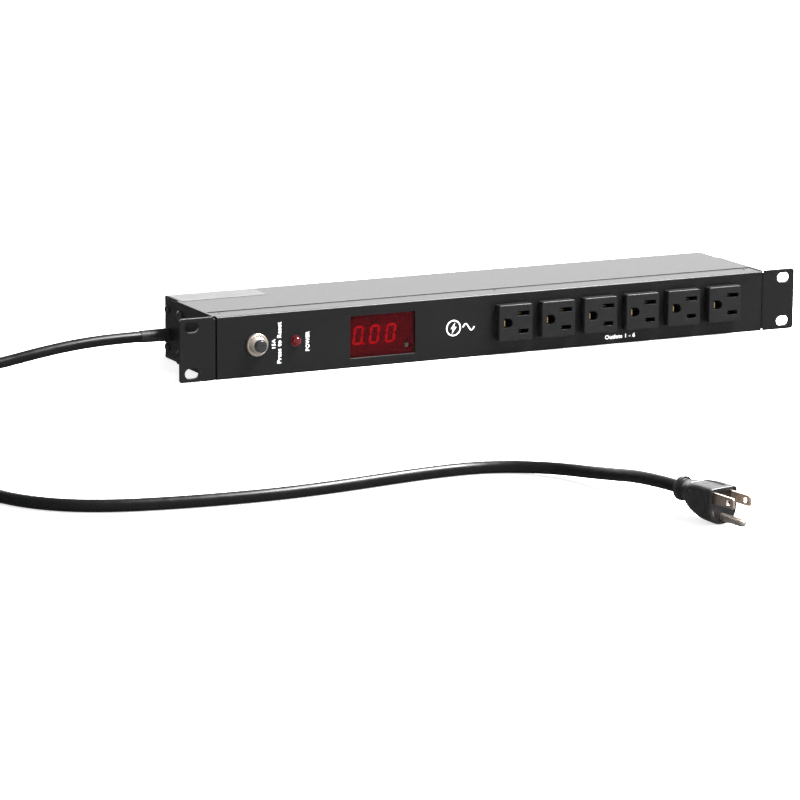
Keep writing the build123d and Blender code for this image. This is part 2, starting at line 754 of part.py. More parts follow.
def plug_body():
    half = plug_width / 2
    top, low = plug_above_axis, -plug_below_axis
    # seen from the side: flat top, belly that swells down towards the face
    side = Polyline((-plug_length + 6, 6.2), (-14, top), (0, top), (0, low), (-9, low))
    belly = ThreePointArc((-9, low), (-22, low + 4.2), (-plug_length + 6, -6.2))
    back = Line((-plug_length + 6, -6.2), (-plug_length + 6, 6.2))
    profile = Plane.XZ * make_face(side + belly + back)
    body = extrude(profile, half + 1, both=True)
    # seen from the face: square shoulders, round below
    mouth = Polyline((-half, low + half), (-half, top), (half, top), (half, low + half))
    round_low = ThreePointArc((half, low + half), (0, low), (-half, low + half))
    outline = Plane.YZ * make_face(mouth + round_low)
    body &= Pos(-plug_length, 0, 0) * extrude(outline, plug_length + 5)
    # seen from above: narrower where the cord comes in
    plan = Polyline((-plug_length + 6, -6.6), (-20, -half + 0.6), (0, -half), (0, half),
                    (-20, half - 0.6), (-plug_length + 6, 6.6), close=True)
    body &= Pos(0, 0, low - 1) * extrude(make_face(plan), top - low + 2)
    neck = rod_x(6.0, -plug_length, -plug_length + 7, 0, 0)
    rim = rod_x(7.4, -plug_length, -plug_length + 2.6, 0, 0)
    rim = fillet(rim.edges().filter_by(GeomType.CIRCLE), 0.7)
    for y in (-blade_spacing / 2, blade_spacing / 2):
        body -= span(-7, 1, y - 0.8, y + 0.8, blade_row_z - 3.25, blade_row_z + 3.25)
    body -= rod_x(2.45, -7, 1, 0, blade_row_z - ground_offset)
    return plug_frame() * (body + neck + rim)


def plug_blades():
    blades = []
    for y in (-blade_spacing / 2, blade_spacing / 2):
        blade = span(-6.9, 16.5, y - 0.75, y + 0.75, blade_row_z - 3.15, blade_row_z + 3.15)
        tip = blade.edges().filter_by(Axis.Y).group_by(Axis.X)[-1]
        blade = chamfer(tip, 1.3)
        blade -= Pos(12.2, y, blade_row_z) * Rot(90, 0, 0) * Cylinder(1.6, 4)
        blades.append(plug_frame() * blade)
    return blades


def plug_ground_pin():
    z = blade_row_z - ground_offset
    pin = rod_x(2.35, -6.9, 19.5, 0, z)
    pin = fillet(pin.edges().group_by(Axis.X)[-1], 1.9)
    return plug_frame() * pin


# ---- build ---------------------------------------------------------------------

save("chassis_tray", chassis_tray())
save("top_cover", top_cover())
save("end_plate_left", end_plate(-1))
save("end_plate_right", end_plate(1))
right_bracket, left_bracket = both_sides(rack_bracket())
save("rack_bracket_right", right_bracket)
save("rack_bracket_left", left_bracket)
save("cover_screws", *[cover_screw(x) for x in cover_screw_places])
save("rear_screws", *[rear_screw(x) for x in rear_screw_places])
save("side_screws", *side_screws())
save("bracket_screws", *bracket_screws())
save("bracket_nuts", *bracket_nuts())
for number, x in enumerate(outlet_places, 1):
    save(f"outlet_{number}_housing", outlet_housing(x))
    save(f"outlet_{number}_contacts", *outlet_contacts(x))
save("neutral_bus_bar", bus_bar(outlet_z + blade_spacing / 2 - 1.05, bus_front_y))
save("line_bus_bar", bus_bar(outlet_z - blade_spacing / 2 - 1.05, bus_front_y))
save("ground_bus_bar", bus_bar(outlet_z, ground_bus_front_y))
save("bus_carrier", bus_carrier())
save("breaker_body", breaker_body())
save("breaker_bushing", breaker_bushing())
save("breaker_nut", breaker_nut())
save("breaker_button", breaker_button())
save("breaker_terminals", *breaker_terminals())
save("lamp_lens", lamp_lens())
save("lamp_holder", lamp_holder())
save("lamp_clip", lamp_clip())
save("meter_window", meter_window())
save("meter_shell", meter_shell())
save("meter_board", meter_board())
save("meter_display", meter_display())
save("meter_trimmer_base", trimmer_base())
save("meter_trimmer_rotor", trimmer_rotor())
save("meter_current_transformer", current_transformer())
save("ground_stud", ground_stud())
save("ground_nut", ground_nut())
save("ground_lugs", *ground_lugs())
save("cord_jacket_end", cord_jacket_end())
save("cord_strain_relief", cord_strain_relief())
lead, lead_length = tube(lead_points, cord_radius, "cord_lead")
save("cord_lead", lead)
save("cord_coil", cord_coil())
save("cord_tie", cord_tie())
run, run_length = tube(run_points, cord_radius, "cord_run")
save("cord_run", run)
turns = coil_turns * math.pi * (coil_outer_turn + coil_inner_turn)
print("whole cord", round(relief_length + lead_length + turns + run_length, 1))
save("plug_body", plug_body())
save("plug_blades", *plug_blades())
save("plug_ground_pin", plug_ground_pin())
for name, route in wire_routes.items():
    save(name, tube(route, wire_radius, name)[0])
save("rating_label", span(label_left, label_left + label_width, rear_y - 1.5 - label_depth,
                          rear_y - 1.5, panel_height, panel_height + label_thickness))
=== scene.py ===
# Rack power strip with a digital meter, six outlets and a moulded plug.
# Metres. +Z up, -Y front, +X right, the origin on the floor under the case.
import json
import math

import bmesh
import bpy
from mathutils import Matrix, Quaternion, Vector


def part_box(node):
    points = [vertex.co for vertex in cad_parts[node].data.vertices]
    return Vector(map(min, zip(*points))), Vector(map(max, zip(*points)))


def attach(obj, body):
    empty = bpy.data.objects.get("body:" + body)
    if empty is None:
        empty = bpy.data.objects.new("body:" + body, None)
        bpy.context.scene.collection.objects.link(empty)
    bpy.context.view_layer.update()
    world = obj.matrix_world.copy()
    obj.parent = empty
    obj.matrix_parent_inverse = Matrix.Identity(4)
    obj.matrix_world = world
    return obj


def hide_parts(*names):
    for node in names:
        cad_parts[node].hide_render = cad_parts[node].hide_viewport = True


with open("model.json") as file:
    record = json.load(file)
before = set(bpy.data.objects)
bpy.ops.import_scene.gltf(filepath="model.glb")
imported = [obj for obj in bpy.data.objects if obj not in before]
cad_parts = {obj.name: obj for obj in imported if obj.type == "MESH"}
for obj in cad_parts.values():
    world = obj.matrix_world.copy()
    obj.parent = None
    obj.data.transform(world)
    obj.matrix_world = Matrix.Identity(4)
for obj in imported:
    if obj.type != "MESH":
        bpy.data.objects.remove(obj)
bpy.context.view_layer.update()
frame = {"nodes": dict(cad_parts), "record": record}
mm = 0.001
nodes = frame["nodes"]
scene = bpy.context.scene


def centreOf(node):
    low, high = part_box(node)
    return (low + high) / 2


trayLow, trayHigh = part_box("chassis_tray")
frontY = trayLow.y
caseHalf = trayHigh.x

shot = {"target": (-0.0761, -0.0400, -0.0257), "distance": 2.8, "azimuth": 26.52,
        "elevation": 11.84, "roll": 0.37, "lens": 182.2}


def addCamera():
    azimuth = math.radians(shot["azimuth"])
    elevation = math.radians(shot["elevation"])
    away = Vector((-math.sin(azimuth) * math.cos(elevation),
                   -math.cos(azimuth) * math.cos(elevation), math.sin(elevation)))
    camera = bpy.data.objects.new("camera", bpy.data.cameras.new("camera"))
    camera.data.lens = shot["lens"]
    camera.data.clip_end = 50
    camera.location = Vector(shot["target"]) + away * shot["distance"]
    roll = Quaternion((0, 0, 1), math.radians(shot["roll"]))
    camera.rotation_euler = ((-away).to_track_quat("-Z", "Y") @ roll).to_euler()
    scene.collection.objects.link(camera)
    scene.camera = camera


addCamera()
print("camera is set")


def linkMesh(name, mesh, material=None):
    piece = bpy.data.objects.new(name, mesh)
    scene.collection.objects.link(piece)
    if material:
        mesh.materials.clear()
        mesh.materials.append(material)
    return piece


def fromBmesh(name, bm, material=None, smooth=True):
    bmesh.ops.remove_doubles(bm, verts=bm.verts, dist=1e-7)
    bmesh.ops.recalc_face_normals(bm, faces=bm.faces)
    mesh = bpy.data.meshes.new(name)
    bm.to_mesh(mesh)
    bm.free()
    mesh.polygons.foreach_set("use_smooth", [smooth] * len(mesh.polygons))
    return linkMesh(name, mesh, material)


def plainMesh(piece, name, material=None):
    # the evaluated result as a new plain object; the old one goes
    scene.view_layers[0].update()
    graph = bpy.context.evaluated_depsgraph_get()
    mesh = bpy.data.meshes.new_from_object(piece.evaluated_get(graph))
    bpy.data.objects.remove(piece)
    return linkMesh(name, mesh, material)


def place(piece, matrix):
    # the place goes into the mesh, and the object stays at the origin
    piece.data.transform(matrix)
    if matrix.to_3x3().determinant() < 0:
        piece.data.flip_normals()
    piece.data.update()
    return piece


def creased(piece, angle=35):
    # hard edges stay hard where the surface turns sharply
    bm = bmesh.new()
    bm.from_mesh(piece.data)
    limit = math.radians(angle)
    for edge in bm.edges:
        edge.smooth = edge.is_manifold and edge.calc_face_angle(0) < limit
    bm.to_mesh(piece.data)
    bm.free()
    return piece


def lathe(name, profile, material=None, steps=48):
    # profile is (radius, along) pairs, turned about +Z; radius 0 closes an end
    bm = bmesh.new()
    rings = []
    for radius, along in profile:
        if radius < 1e-9:
            rings.append([bm.verts.new((0, 0, along))])
            continue
        ring = []
        for n in range(steps):
            angle = 2 * math.pi * n / steps
            ring.append(bm.verts.new((radius * math.cos(angle), radius * math.sin(angle), along)))
        rings.append(ring)
    for first, second in zip(rings, rings[1:]):
        for n in range(steps):
            after = (n + 1) % steps
            corners = [first[n % len(first)], first[after % len(first)],
                       second[after % len(second)], second[n % len(second)]]
            unique = list(dict.fromkeys(corners))
            if len(unique) > 2:
                bm.faces.new(unique)
    return fromBmesh(name, bm, material)


def joined(name, pieces, material=None):
    bm = bmesh.new()
    for piece in pieces:
        bm.from_mesh(piece.data)
        bpy.data.objects.remove(piece)
    mesh = bpy.data.meshes.new(name)
    bm.to_mesh(mesh)
    bm.free()
    return linkMesh(name, mesh, material)


def welded(piece):
    bm = bmesh.new()
    bm.from_mesh(piece.data)
    bmesh.ops.remove_doubles(bm, verts=bm.verts, dist=1e-7)
    bmesh.ops.recalc_face_normals(bm, faces=bm.faces)
    bm.to_mesh(piece.data)
    bm.free()
    return piece


def sheetShape(name, outlines, thickness, edge=0.0, material=None):
    # flat shape in XY from closed outlines; an outline inside another is a hole
    curve = bpy.data.curves.new(name, "CURVE")
    curve.dimensions = "2D"
    curve.fill_mode = "BOTH"
    curve.extrude = thickness / 2 - edge
    curve.bevel_depth = edge
    curve.bevel_resolution = 1
    curve.offset = -edge
    for outline in outlines:
        spline = curve.splines.new("POLY")
        spline.points.add(len(outline) - 1)
        for point, (x, y) in zip(spline.points, outline):
            point.co = (x, y, 0, 1)
        spline.use_cyclic_u = True
    flat = bpy.data.objects.new(name, curve)
    scene.collection.objects.link(flat)
    piece = plainMesh(flat, name, material)
    bpy.data.curves.remove(curve)
    return welded(piece)


def inMetres(points):
    return [(a * mm, b * mm) for a, b in points]


def circlePoints(radius, steps=24, centre=(0, 0)):
    return [(centre[0] + radius * math.cos(2 * math.pi * n / steps),
             centre[1] + radius * math.sin(2 * math.pi * n / steps)) for n in range(steps)]


def finishPiece(piece, body, replaced=()):
    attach(piece, body)
    if replaced:
        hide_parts(*replaced)
    return piece


def addNode(tree, kind, **settings):
    node = tree.nodes.new(kind)
    for key, value in settings.items():
        if hasattr(node, key):
            setattr(node, key, value)
        else:
            node.inputs[key].default_value = value
    return node


def socketNamed(sockets, name):
    # sockets for other data types share a name and are switched off
    return next(s for s in sockets if s.name == name and s.enabled)


def link(tree, start, outName, end, inName):
    tree.links.new(socketNamed(start.outputs, outName), socketNamed(end.inputs, inName))


def newFinish(name, colour, roughness, metallic=0.0, specular=0.5, coat=0.0):
    material = bpy.data.materials.new(name)
    material.use_nodes = True
    tree = material.node_tree
    shader = tree.nodes["Principled BSDF"]
    shader.inputs["Base Color"].default_value = (*colour, 1)
    shader.inputs["Roughness"].default_value = roughness
    shader.inputs["Metallic"].default_value = metallic
    shader.inputs["Specular IOR Level"].default_value = specular
    shader.inputs["Coat Weight"].default_value = coat
    material.diffuse_color = (*colour, 1)
    return material, tree, shader


def objectSpace(tree):
    return addNode(tree, "ShaderNodeTexCoord")


def mottle(tree, shader, colour, spread, size, socket="Base Color"):
    # slow colour change over the surface
    space = objectSpace(tree)
    noise = addNode(tree, "ShaderNodeTexNoise", Scale=1 / size, Detail=4.0)
    ramp = addNode(tree, "ShaderNodeValToRGB")
    low, high = ramp.color_ramp.elements
    low.position, high.position = 0.3, 0.7
    low.color = (*[c * (1 - spread) for c in colour], 1)
    high.color = (*[min(1, c * (1 + spread)) for c in colour], 1)
    link(tree, space, "Object", noise, "Vector")
    link(tree, noise, "Fac", ramp, "Fac")
    link(tree, ramp, "Color", shader, socket)


def roughVary(tree, shader, low, high, size, stretch=None):
    space = objectSpace(tree)
    noise = addNode(tree, "ShaderNodeTexNoise", Scale=1 / size, Detail=3.0)
    spread = addNode(tree, "ShaderNodeMapRange")
    spread.inputs["From Min"].default_value = 0.3
    spread.inputs["From Max"].default_value = 0.7
    spread.inputs["To Min"].default_value = low
    spread.inputs["To Max"].default_value = high
    if stretch:
        mapping = addNode(tree, "ShaderNodeMapping", Scale=stretch)
        link(tree, space, "Object", mapping, "Vector")
        link(tree, mapping, "Vector", noise, "Vector")
    else:
        link(tree, space, "Object", noise, "Vector")
    link(tree, noise, "Fac", spread, "Value")
    link(tree, spread, "Result", shader, "Roughness")


def grain(tree, shader, size, height, strength=1.0, rounding=0.0, stretch=None, kind="noise"):
    # fine surface relief; rounding softens the look of sharp edges
    space = objectSpace(tree)
    if kind == "cells":
        texture = addNode(tree, "ShaderNodeTexVoronoi", Scale=1 / size)
        output = "Distance"
    else:
        texture = addNode(tree, "ShaderNodeTexNoise", Scale=1 / size, Detail=2.0)
        output = "Fac"
    if stretch:
        mapping = addNode(tree, "ShaderNodeMapping", Scale=stretch)
        link(tree, space, "Object", mapping, "Vector")
        link(tree, mapping, "Vector", texture, "Vector")
    else:
        link(tree, space, "Object", texture, "Vector")
    bump = addNode(tree, "ShaderNodeBump", Strength=strength, Distance=height)
    link(tree, texture, output, bump, "Height")
    if rounding:
        edge = addNode(tree, "ShaderNodeBevel", samples=4, Radius=rounding)
        link(tree, edge, "Normal", bump, "Normal")
    link(tree, bump, "Normal", shader, "Normal")


def powderCoat():
    look = {"colour": (0.0045, 0.0045, 0.0050)}
    material, tree, shader = newFinish("black powder coat", look["colour"], 0.34, specular=0.28)
    mottle(tree, shader, look["colour"], 0.10, 0.030)
    roughVary(tree, shader, 0.33, 0.36, 0.002)
    grain(tree, shader, 0.00060, 0.00002, 0.40, rounding=0.0005)
    return material


def blackZinc():
    look = {"colour": (0.030, 0.030, 0.033)}
    material, tree, shader = newFinish("black zinc", look["colour"], 0.30, metallic=0.6)
    mottle(tree, shader, look["colour"], 0.35, 0.0015)
    roughVary(tree, shader, 0.22, 0.42, 0.0010)
    grain(tree, shader, 0.0004, 0.00001, 0.4)
    return material


def zincPlate():
    look = {"colour": (0.56, 0.56, 0.53)}
    material, tree, shader = newFinish("zinc plate", look["colour"], 0.35, metallic=1.0)
    mottle(tree, shader, look["colour"], 0.18, 0.0012)
    roughVary(tree, shader, 0.26, 0.48, 0.0016)
    grain(tree, shader, 0.0003, 0.00001, 0.3)
    return material


def outletNylon():
    look = {"colour": (0.0058, 0.0058, 0.0064)}
    material, tree, shader = newFinish("outlet nylon", look["colour"], 0.44, specular=0.30)
    mottle(tree, shader, look["colour"], 0.12, 0.006)
    roughVary(tree, shader, 0.38, 0.50, 0.004)
    grain(tree, shader, 0.00040, 0.00002, 0.5, rounding=0.0002, kind="cells")
    return material


def contactBrass():
    look = {"colour": (0.80, 0.58, 0.25)}
    material, tree, shader = newFinish("contact brass", look["colour"], 0.28, metallic=1.0)
    mottle(tree, shader, look["colour"], 0.14, 0.0020)
    roughVary(tree, shader, 0.20, 0.40, 0.0012)
    grain(tree, shader, 0.0003, 0.00001, 0.3, stretch=(1, 0.08, 1))
    return material


def brightNickel():
    look = {"colour": (0.88, 0.82, 0.75)}
    material, tree, shader = newFinish("bright nickel", look["colour"], 0.17, metallic=1.0)
    mottle(tree, shader, look["colour"], 0.07, 0.0015)
    roughVary(tree, shader, 0.26, 0.40, 0.0010)
    grain(tree, shader, 0.0005, 0.00001, 0.25)
    return material


def dullNickel():
    look = {"colour": (0.20, 0.18, 0.16)}
    material, tree, shader = newFinish("dull nickel", look["colour"], 0.24, metallic=1.0)
    mottle(tree, shader, look["colour"], 0.10, 0.0010)
    roughVary(tree, shader, 0.18, 0.32, 0.0008)
    grain(tree, shader, 0.0004, 0.00001, 0.25)
    return material


def bladeNickel():
    look = {"colour": (0.86, 0.73, 0.64)}
    material, tree, shader = newFinish("blade nickel", look["colour"], 0.30, metallic=1.0)
    mottle(tree, shader, look["colour"], 0.10, 0.0025)
    roughVary(tree, shader, 0.42, 0.56, 0.0012, stretch=(1, 0.15, 1))
    grain(tree, shader, 0.0004, 0.00001, 0.3, stretch=(1, 0.10, 1))
    return material


def innerPlastic():
    look = {"colour": (0.040, 0.040, 0.043)}
    material, tree, shader = newFinish("inner plastic", look["colour"], 0.5)
    mottle(tree, shader, look["colour"], 0.15, 0.004)
    roughVary(tree, shader, 0.42, 0.58, 0.003)
    grain(tree, shader, 0.0005, 0.00003, 0.4)
    return material


def buttonPlastic():
    look = {"colour": (0.012, 0.012, 0.0125)}
    material, tree, shader = newFinish("button plastic", look["colour"], 0.20, coat=0.3)
    mottle(tree, shader, look["colour"], 0.15, 0.003)
    roughVary(tree, shader, 0.16, 0.26, 0.002)
    grain(tree, shader, 0.0006, 0.00001, 0.2)
    return material


def lampRed():
    look = {"colour": (0.085, 0.003, 0.005), "clear": 0.45}
    material, tree, shader = newFinish("lamp red", look["colour"], 0.08, coat=0.5)
    mottle(tree, shader, look["colour"], 0.45, 0.0016)
    roughVary(tree, shader, 0.06, 0.12, 0.002)
    grain(tree, shader, 0.0008, 0.00002, 0.25, kind="cells")
    shader.inputs["Transmission Weight"].default_value = look["clear"]
    return material


def windowRed():
    look = {"colour": (0.22, 0.004, 0.010), "clear": 0.93, "index": 1.25}
    material, tree, shader = newFinish("window red", look["colour"], 0.05, specular=0.30)
    mottle(tree, shader, look["colour"], 0.06, 0.012)
    roughVary(tree, shader, 0.03, 0.07, 0.010)
    grain(tree, shader, 0.004, 0.00001, 0.08)
    shader.inputs["Transmission Weight"].default_value = look["clear"]
    shader.inputs["IOR"].default_value = look["index"]
    return material


def circuitBoard():
    look = {"colour": (0.030, 0.016, 0.014), "track": (0.06, 0.035, 0.02),
            "tracks": 420.0, "trackWidth": 0.03}
    material, tree, shader = newFinish("circuit board", look["colour"], 0.40)
    space = objectSpace(tree)
    bricks = addNode(tree, "ShaderNodeTexBrick", Scale=look["tracks"])
    bricks.inputs["Color1"].default_value = (*look["colour"], 1)
    bricks.inputs["Color2"].default_value = (*look["colour"], 1)
    bricks.inputs["Mortar"].default_value = (*look["track"], 1)
    bricks.inputs["Mortar Size"].default_value = look["trackWidth"]
    turn = addNode(tree, "ShaderNodeMapping", Rotation=(math.pi / 2, 0, 0))
    link(tree, space, "Object", turn, "Vector")
    link(tree, turn, "Vector", bricks, "Vector")
    link(tree, bricks, "Color", shader, "Base Color")
    roughVary(tree, shader, 0.34, 0.48, 0.003)
    grain(tree, shader, 0.0006, 0.00002, 0.3)
    return material


def displayPlasticPaintedGlow():
    look = {"colour": (0.035, 0.010, 0.010), "glow": (0.30, 0.004, 0.008), "strength": 0.06}
    material, tree, shader = newFinish("display plastic, painted glow", look["colour"], 0.45)
    mottle(tree, shader, look["colour"], 0.2, 0.003)
    roughVary(tree, shader, 0.40, 0.55, 0.002)
    grain(tree, shader, 0.0005, 0.00002, 0.3)
    # painted glow: the unlit display face glows faintly red, standing in for light that reaches
    # it through the red window
    shader.inputs["Emission Color"].default_value = (*look["glow"], 1)
    shader.inputs["Emission Strength"].default_value = look["strength"]
    return material


def litSegment():
    look = {"colour": (0.45, 0.02, 0.05), "glow": (0.62, 0.008, 0.085), "strength": 2.2}
    material, tree, shader = newFinish("lit segment", look["colour"], 0.4)
    mottle(tree, shader, look["glow"], 0.22, 0.0016, socket="Emission Color")
    roughVary(tree, shader, 0.35, 0.5, 0.002)
    grain(tree, shader, 0.0005, 0.00001, 0.2)
    shader.inputs["Emission Strength"].default_value = look["strength"]
    return material


def darkSegmentPaintedGlow():
    look = {"colour": (0.10, 0.035, 0.035), "glow": (0.30, 0.010, 0.015), "strength": 0.08}
    material, tree, shader = newFinish("dark segment, painted glow", look["colour"], 0.4)
    mottle(tree, shader, look["colour"], 0.2, 0.0016)
    roughVary(tree, shader, 0.35, 0.5, 0.002)
    grain(tree, shader, 0.0005, 0.00001, 0.2)
    # painted glow: the bars that are off glow faintly red, standing in for light that reaches
    # them through the red window
    shader.inputs["Emission Color"].default_value = (*look["glow"], 1)
    shader.inputs["Emission Strength"].default_value = look["strength"]
    return material


def trimmerBlue():
    look = {"colour": (0.03, 0.08, 0.30)}
    material, tree, shader = newFinish("trimmer blue", look["colour"], 0.35)
    mottle(tree, shader, look["colour"], 0.12, 0.003)
    roughVary(tree, shader, 0.30, 0.42, 0.002)
    grain(tree, shader, 0.0005, 0.00002, 0.3)
    return material


def ferriteCore():
    look = {"colour": (0.055, 0.055, 0.060)}
    material, tree, shader = newFinish("ferrite core", look["colour"], 0.6)
    mottle(tree, shader, look["colour"], 0.25, 0.002)
    roughVary(tree, shader, 0.5, 0.7, 0.002)
    grain(tree, shader, 0.0006, 0.00004, 0.5)
    return material


def cordVinyl():
    look = {"colour": (0.0028, 0.0028, 0.0031)}
    material, tree, shader = newFinish("cord vinyl", look["colour"], 0.34, specular=0.24)
    mottle(tree, shader, look["colour"], 0.20, 0.020)
    roughVary(tree, shader, 0.28, 0.42, 0.006)
    grain(tree, shader, 0.0016, 0.00005, 0.35)
    return material


def plugVinyl():
    look = {"colour": (0.0070, 0.0070, 0.0076)}
    material, tree, shader = newFinish("plug vinyl", look["colour"], 0.34, specular=0.55)
    mottle(tree, shader, look["colour"], 0.18, 0.006)
    roughVary(tree, shader, 0.32, 0.46, 0.004)
    grain(tree, shader, 0.0005, 0.00003, 0.4, kind="cells")
    return material


def wireJacket(name, colour):
    material, tree, shader = newFinish(name, colour, 0.42)
    mottle(tree, shader, colour, 0.12, 0.006)
    roughVary(tree, shader, 0.36, 0.5, 0.004)
    grain(tree, shader, 0.0008, 0.00003, 0.3)
    return material


def labelFilm():
    look = {"colour": (0.046, 0.046, 0.048)}
    material, tree, shader = newFinish("label film", look["colour"], 0.36, specular=0.42)
    mottle(tree, shader, look["colour"], 0.05, 0.010)
    roughVary(tree, shader, 0.32, 0.42, 0.0012, stretch=(0.1, 1, 1))
    grain(tree, shader, 0.0005, 0.00001, 0.2, stretch=(0.05, 1, 1))
    return material


def printInk(name, colour):
    material, tree, shader = newFinish(name, colour, 0.5)
    mottle(tree, shader, colour, 0.06, 0.0012)
    roughVary(tree, shader, 0.42, 0.60, 0.001)
    grain(tree, shader, 0.0003, 0.00001, 0.3)
    return material


def strapLoop():
    look = {"colour": (0.012, 0.012, 0.013), "sheen": 0.08}
    material, tree, shader = newFinish("strap loop", look["colour"], 0.85, specular=0.25)
    mottle(tree, shader, look["colour"], 0.35, 0.0008)
    roughVary(tree, shader, 0.75, 0.95, 0.001)
    grain(tree, shader, 0.0005, 0.00012, 0.9, kind="cells")
    shader.inputs["Sheen Weight"].default_value = look["sheen"]
    return material


finishes = {
    "powder": powderCoat(), "screw": blackZinc(), "zinc": zincPlate(), "nylon": outletNylon(),
    "brass": contactBrass(), "nickel": brightNickel(), "blade": bladeNickel(),
    "inner": innerPlastic(), "button": buttonPlastic(), "lamp": lampRed(),
    "window": windowRed(), "board": circuitBoard(), "display": displayPlasticPaintedGlow(),
    "lit": litSegment(), "dark": darkSegmentPaintedGlow(), "trimmer": trimmerBlue(),
    "core": ferriteCore(), "cord": cordVinyl(), "plug": plugVinyl(), "dull": dullNickel(),
    "wireBlack": wireJacket("black wire", (0.015, 0.015, 0.016)),
    "wireWhite": wireJacket("white wire", (0.72, 0.72, 0.69)),
    "wireGreen": wireJacket("green wire", (0.015, 0.20, 0.045)),
    "label": labelFilm(), "strap": strapLoop(),
    "ink": printInk("white ink", (0.86, 0.86, 0.86)),
    "border": printInk("grey ink", (0.20, 0.20, 0.21)),
}

slotFinishes = {
    "black_powder_coat": "powder", "black_screw": "screw", "zinc_plate": "zinc",
    "outlet_nylon": "nylon", "brass": "brass", "inner_plastic": "inner", "nickel": "nickel",
    "button_plastic": "button", "lamp_red": "lamp", "window_red": "window",
    "circuit_board": "board", "display_plastic": "display", "trimmer_blue": "trimmer",
    "core_black": "core", "cord_vinyl": "cord", "wire_black": "wireBlack",
    "wire_white": "wireWhite", "wire_green": "wireGreen", "label_silver": "label",
    "tie_fabric": "strap",
}


def dressNodes():
    # every CAD node takes the finish of its slot
    for part in frame["record"]["subparts"]:
        piece = nodes[part["node"]]
        piece.data.materials.clear()
        piece.data.materials.append(finishes[slotFinishes[part["material_slot"]]])
    screw = nodes["meter_trimmer_rotor"]
    screw.data.materials.clear()
    screw.data.materials.append(finishes["dull"])


dressNodes()
print("finishes are on the frame's nodes")


cordValues = {"diameter": 0.0078, "length": 1.82, "turnPoints": 16, "turns": 3.25,
              "outer": 0.0448, "inner": 0.0368, "top": 0.0118, "strapLift": 0.0009,
              # counted in turns from the start of the coil
              "movesIn": (0.667, 1.0), "climbs": (1.5, 1.833), "movesOut": (2.2, 2.75),
              "strapEases": (0.06, 0.2), "strapAt": 0.5}
reliefEnd = Vector((-0.2362, 0.042, 0.0173))
coilMiddle = Vector((-0.428, 0.042 - cordValues["outer"], 0))
cordFloor = cordValues["diameter"] / 2

leadRoute = [tuple(reliefEnd), (-0.255, 0.042, 0.0173), (-0.282, 0.0417, 0.016),
             (-0.309, 0.0416, 0.0126), (-0.333, 0.0423, 0.0082), (-0.356, 0.0419, 0.0049),
             (-0.382, 0.0422, 0.0042), (-0.407, 0.042, cordFloor)]

coilWest = coilMiddle.x - cordValues["outer"]
runRoute = [(coilWest, -0.0288, 0.0118), (coilWest - 0.0014, -0.0568, 0.0112),
            (coilWest - 0.0045, -0.0868, 0.0064), (coilWest - 0.008, -0.1188, cordFloor),
            (coilWest - 0.0125, -0.1548, cordFloor), (coilWest - 0.0155, -0.1928, cordFloor),
            (coilWest - 0.0165, -0.2288, cordFloor), (coilWest - 0.0145, -0.2628, cordFloor),
            (coilWest - 0.009, -0.2958, cordFloor), (-0.4705, -0.329, cordFloor),
            (-0.451, -0.352, cordFloor), (-0.425, -0.3655, cordFloor),
            (-0.391, -0.373, cordFloor), (-0.354, -0.377, cordFloor),
            (-0.317, -0.3778, cordFloor), (-0.280, -0.3743, cordFloor),
            (-0.245, -0.3688, cordFloor), (-0.212, -0.3648, cordFloor),
            (-0.184, -0.365, cordFloor), (-0.161, -0.3745, 0.0041), (-0.1435, -0.395, 0.0053),
            (-0.1345, -0.429, 0.0085)]

plugPlace = {"heading": -80.0, "tilt": 1.0, "face": (-0.1175, -0.5415, 0.0142),
             "back": 0.037, "behind": 0.068}
plugMatrix = (Matrix.Translation(plugPlace["face"])
              @ Matrix.Rotation(math.radians(plugPlace["heading"]), 4, "Z")
              @ Matrix.Rotation(math.radians(plugPlace["tilt"]), 4, "Y"))
behindPlug = tuple(plugMatrix @ Vector((-plugPlace["behind"], 0, 0)))
plugBack = tuple(plugMatrix @ Vector((-plugPlace["back"], 0, 0)))


def smoothStep(low, high, t):
    t = max(0.0, min(1.0, (t - low) / (high - low)))
    return t * t * (3 - 2 * t)


def coilRoute():
    # from the north point, turning left: two turns on the floor, the rest on top of them
    v = cordValues
    points = []
    steps = v["turnPoints"]
    for n in range(int(v["turns"] * steps) + 1):
        turn = n / steps
        inwards = smoothStep(*v["movesIn"], turn) - smoothStep(*v["movesOut"], turn)
        radius = v["outer"] - (v["outer"] - v["inner"]) * inwards
        height = cordFloor + (v["top"] - cordFloor) * smoothStep(*v["climbs"], turn)
        fromStrap = abs((turn % 1) - v["strapAt"])
        height += v["strapLift"] * (1 - smoothStep(*v["strapEases"], fromStrap))
        if n in (0, int(v["turns"] * steps)):
            outside = 1
        else:
            outside = 1 / math.cos(math.pi / steps)
        angle = math.pi / 2 + 2 * math.pi * turn
        points.append((coilMiddle.x + radius * outside * math.cos(angle),
                       coilMiddle.y + radius * outside * math.sin(angle), height))
    return points


def makeCord():
    route = leadRoute + coilRoute() + runRoute + [behindPlug, plugBack]
    curve = bpy.data.curves.new("power_cord", "CURVE")
    curve.dimensions = "3D"
    spline = curve.splines.new("NURBS")
    spline.points.add(len(route) - 1)
    for point, spot in zip(spline.points, route):
        point.co = (*spot, 1)
    spline.order_u = 3
    spline.use_endpoint_u = True
    spline.resolution_u = 8
    curve.bevel_depth = cordValues["diameter"] / 2
    curve.bevel_resolution = 7
    curve.use_fill_caps = True
    cord = bpy.data.objects.new("power_cord", curve)
    curve.materials.append(finishes["cord"])
    scene.collection.objects.link(cord)
    return finishPiece(cord, "case", ("cord_lead", "cord_coil", "cord_run"))


powerCord = makeCord()
print("cord is laid")


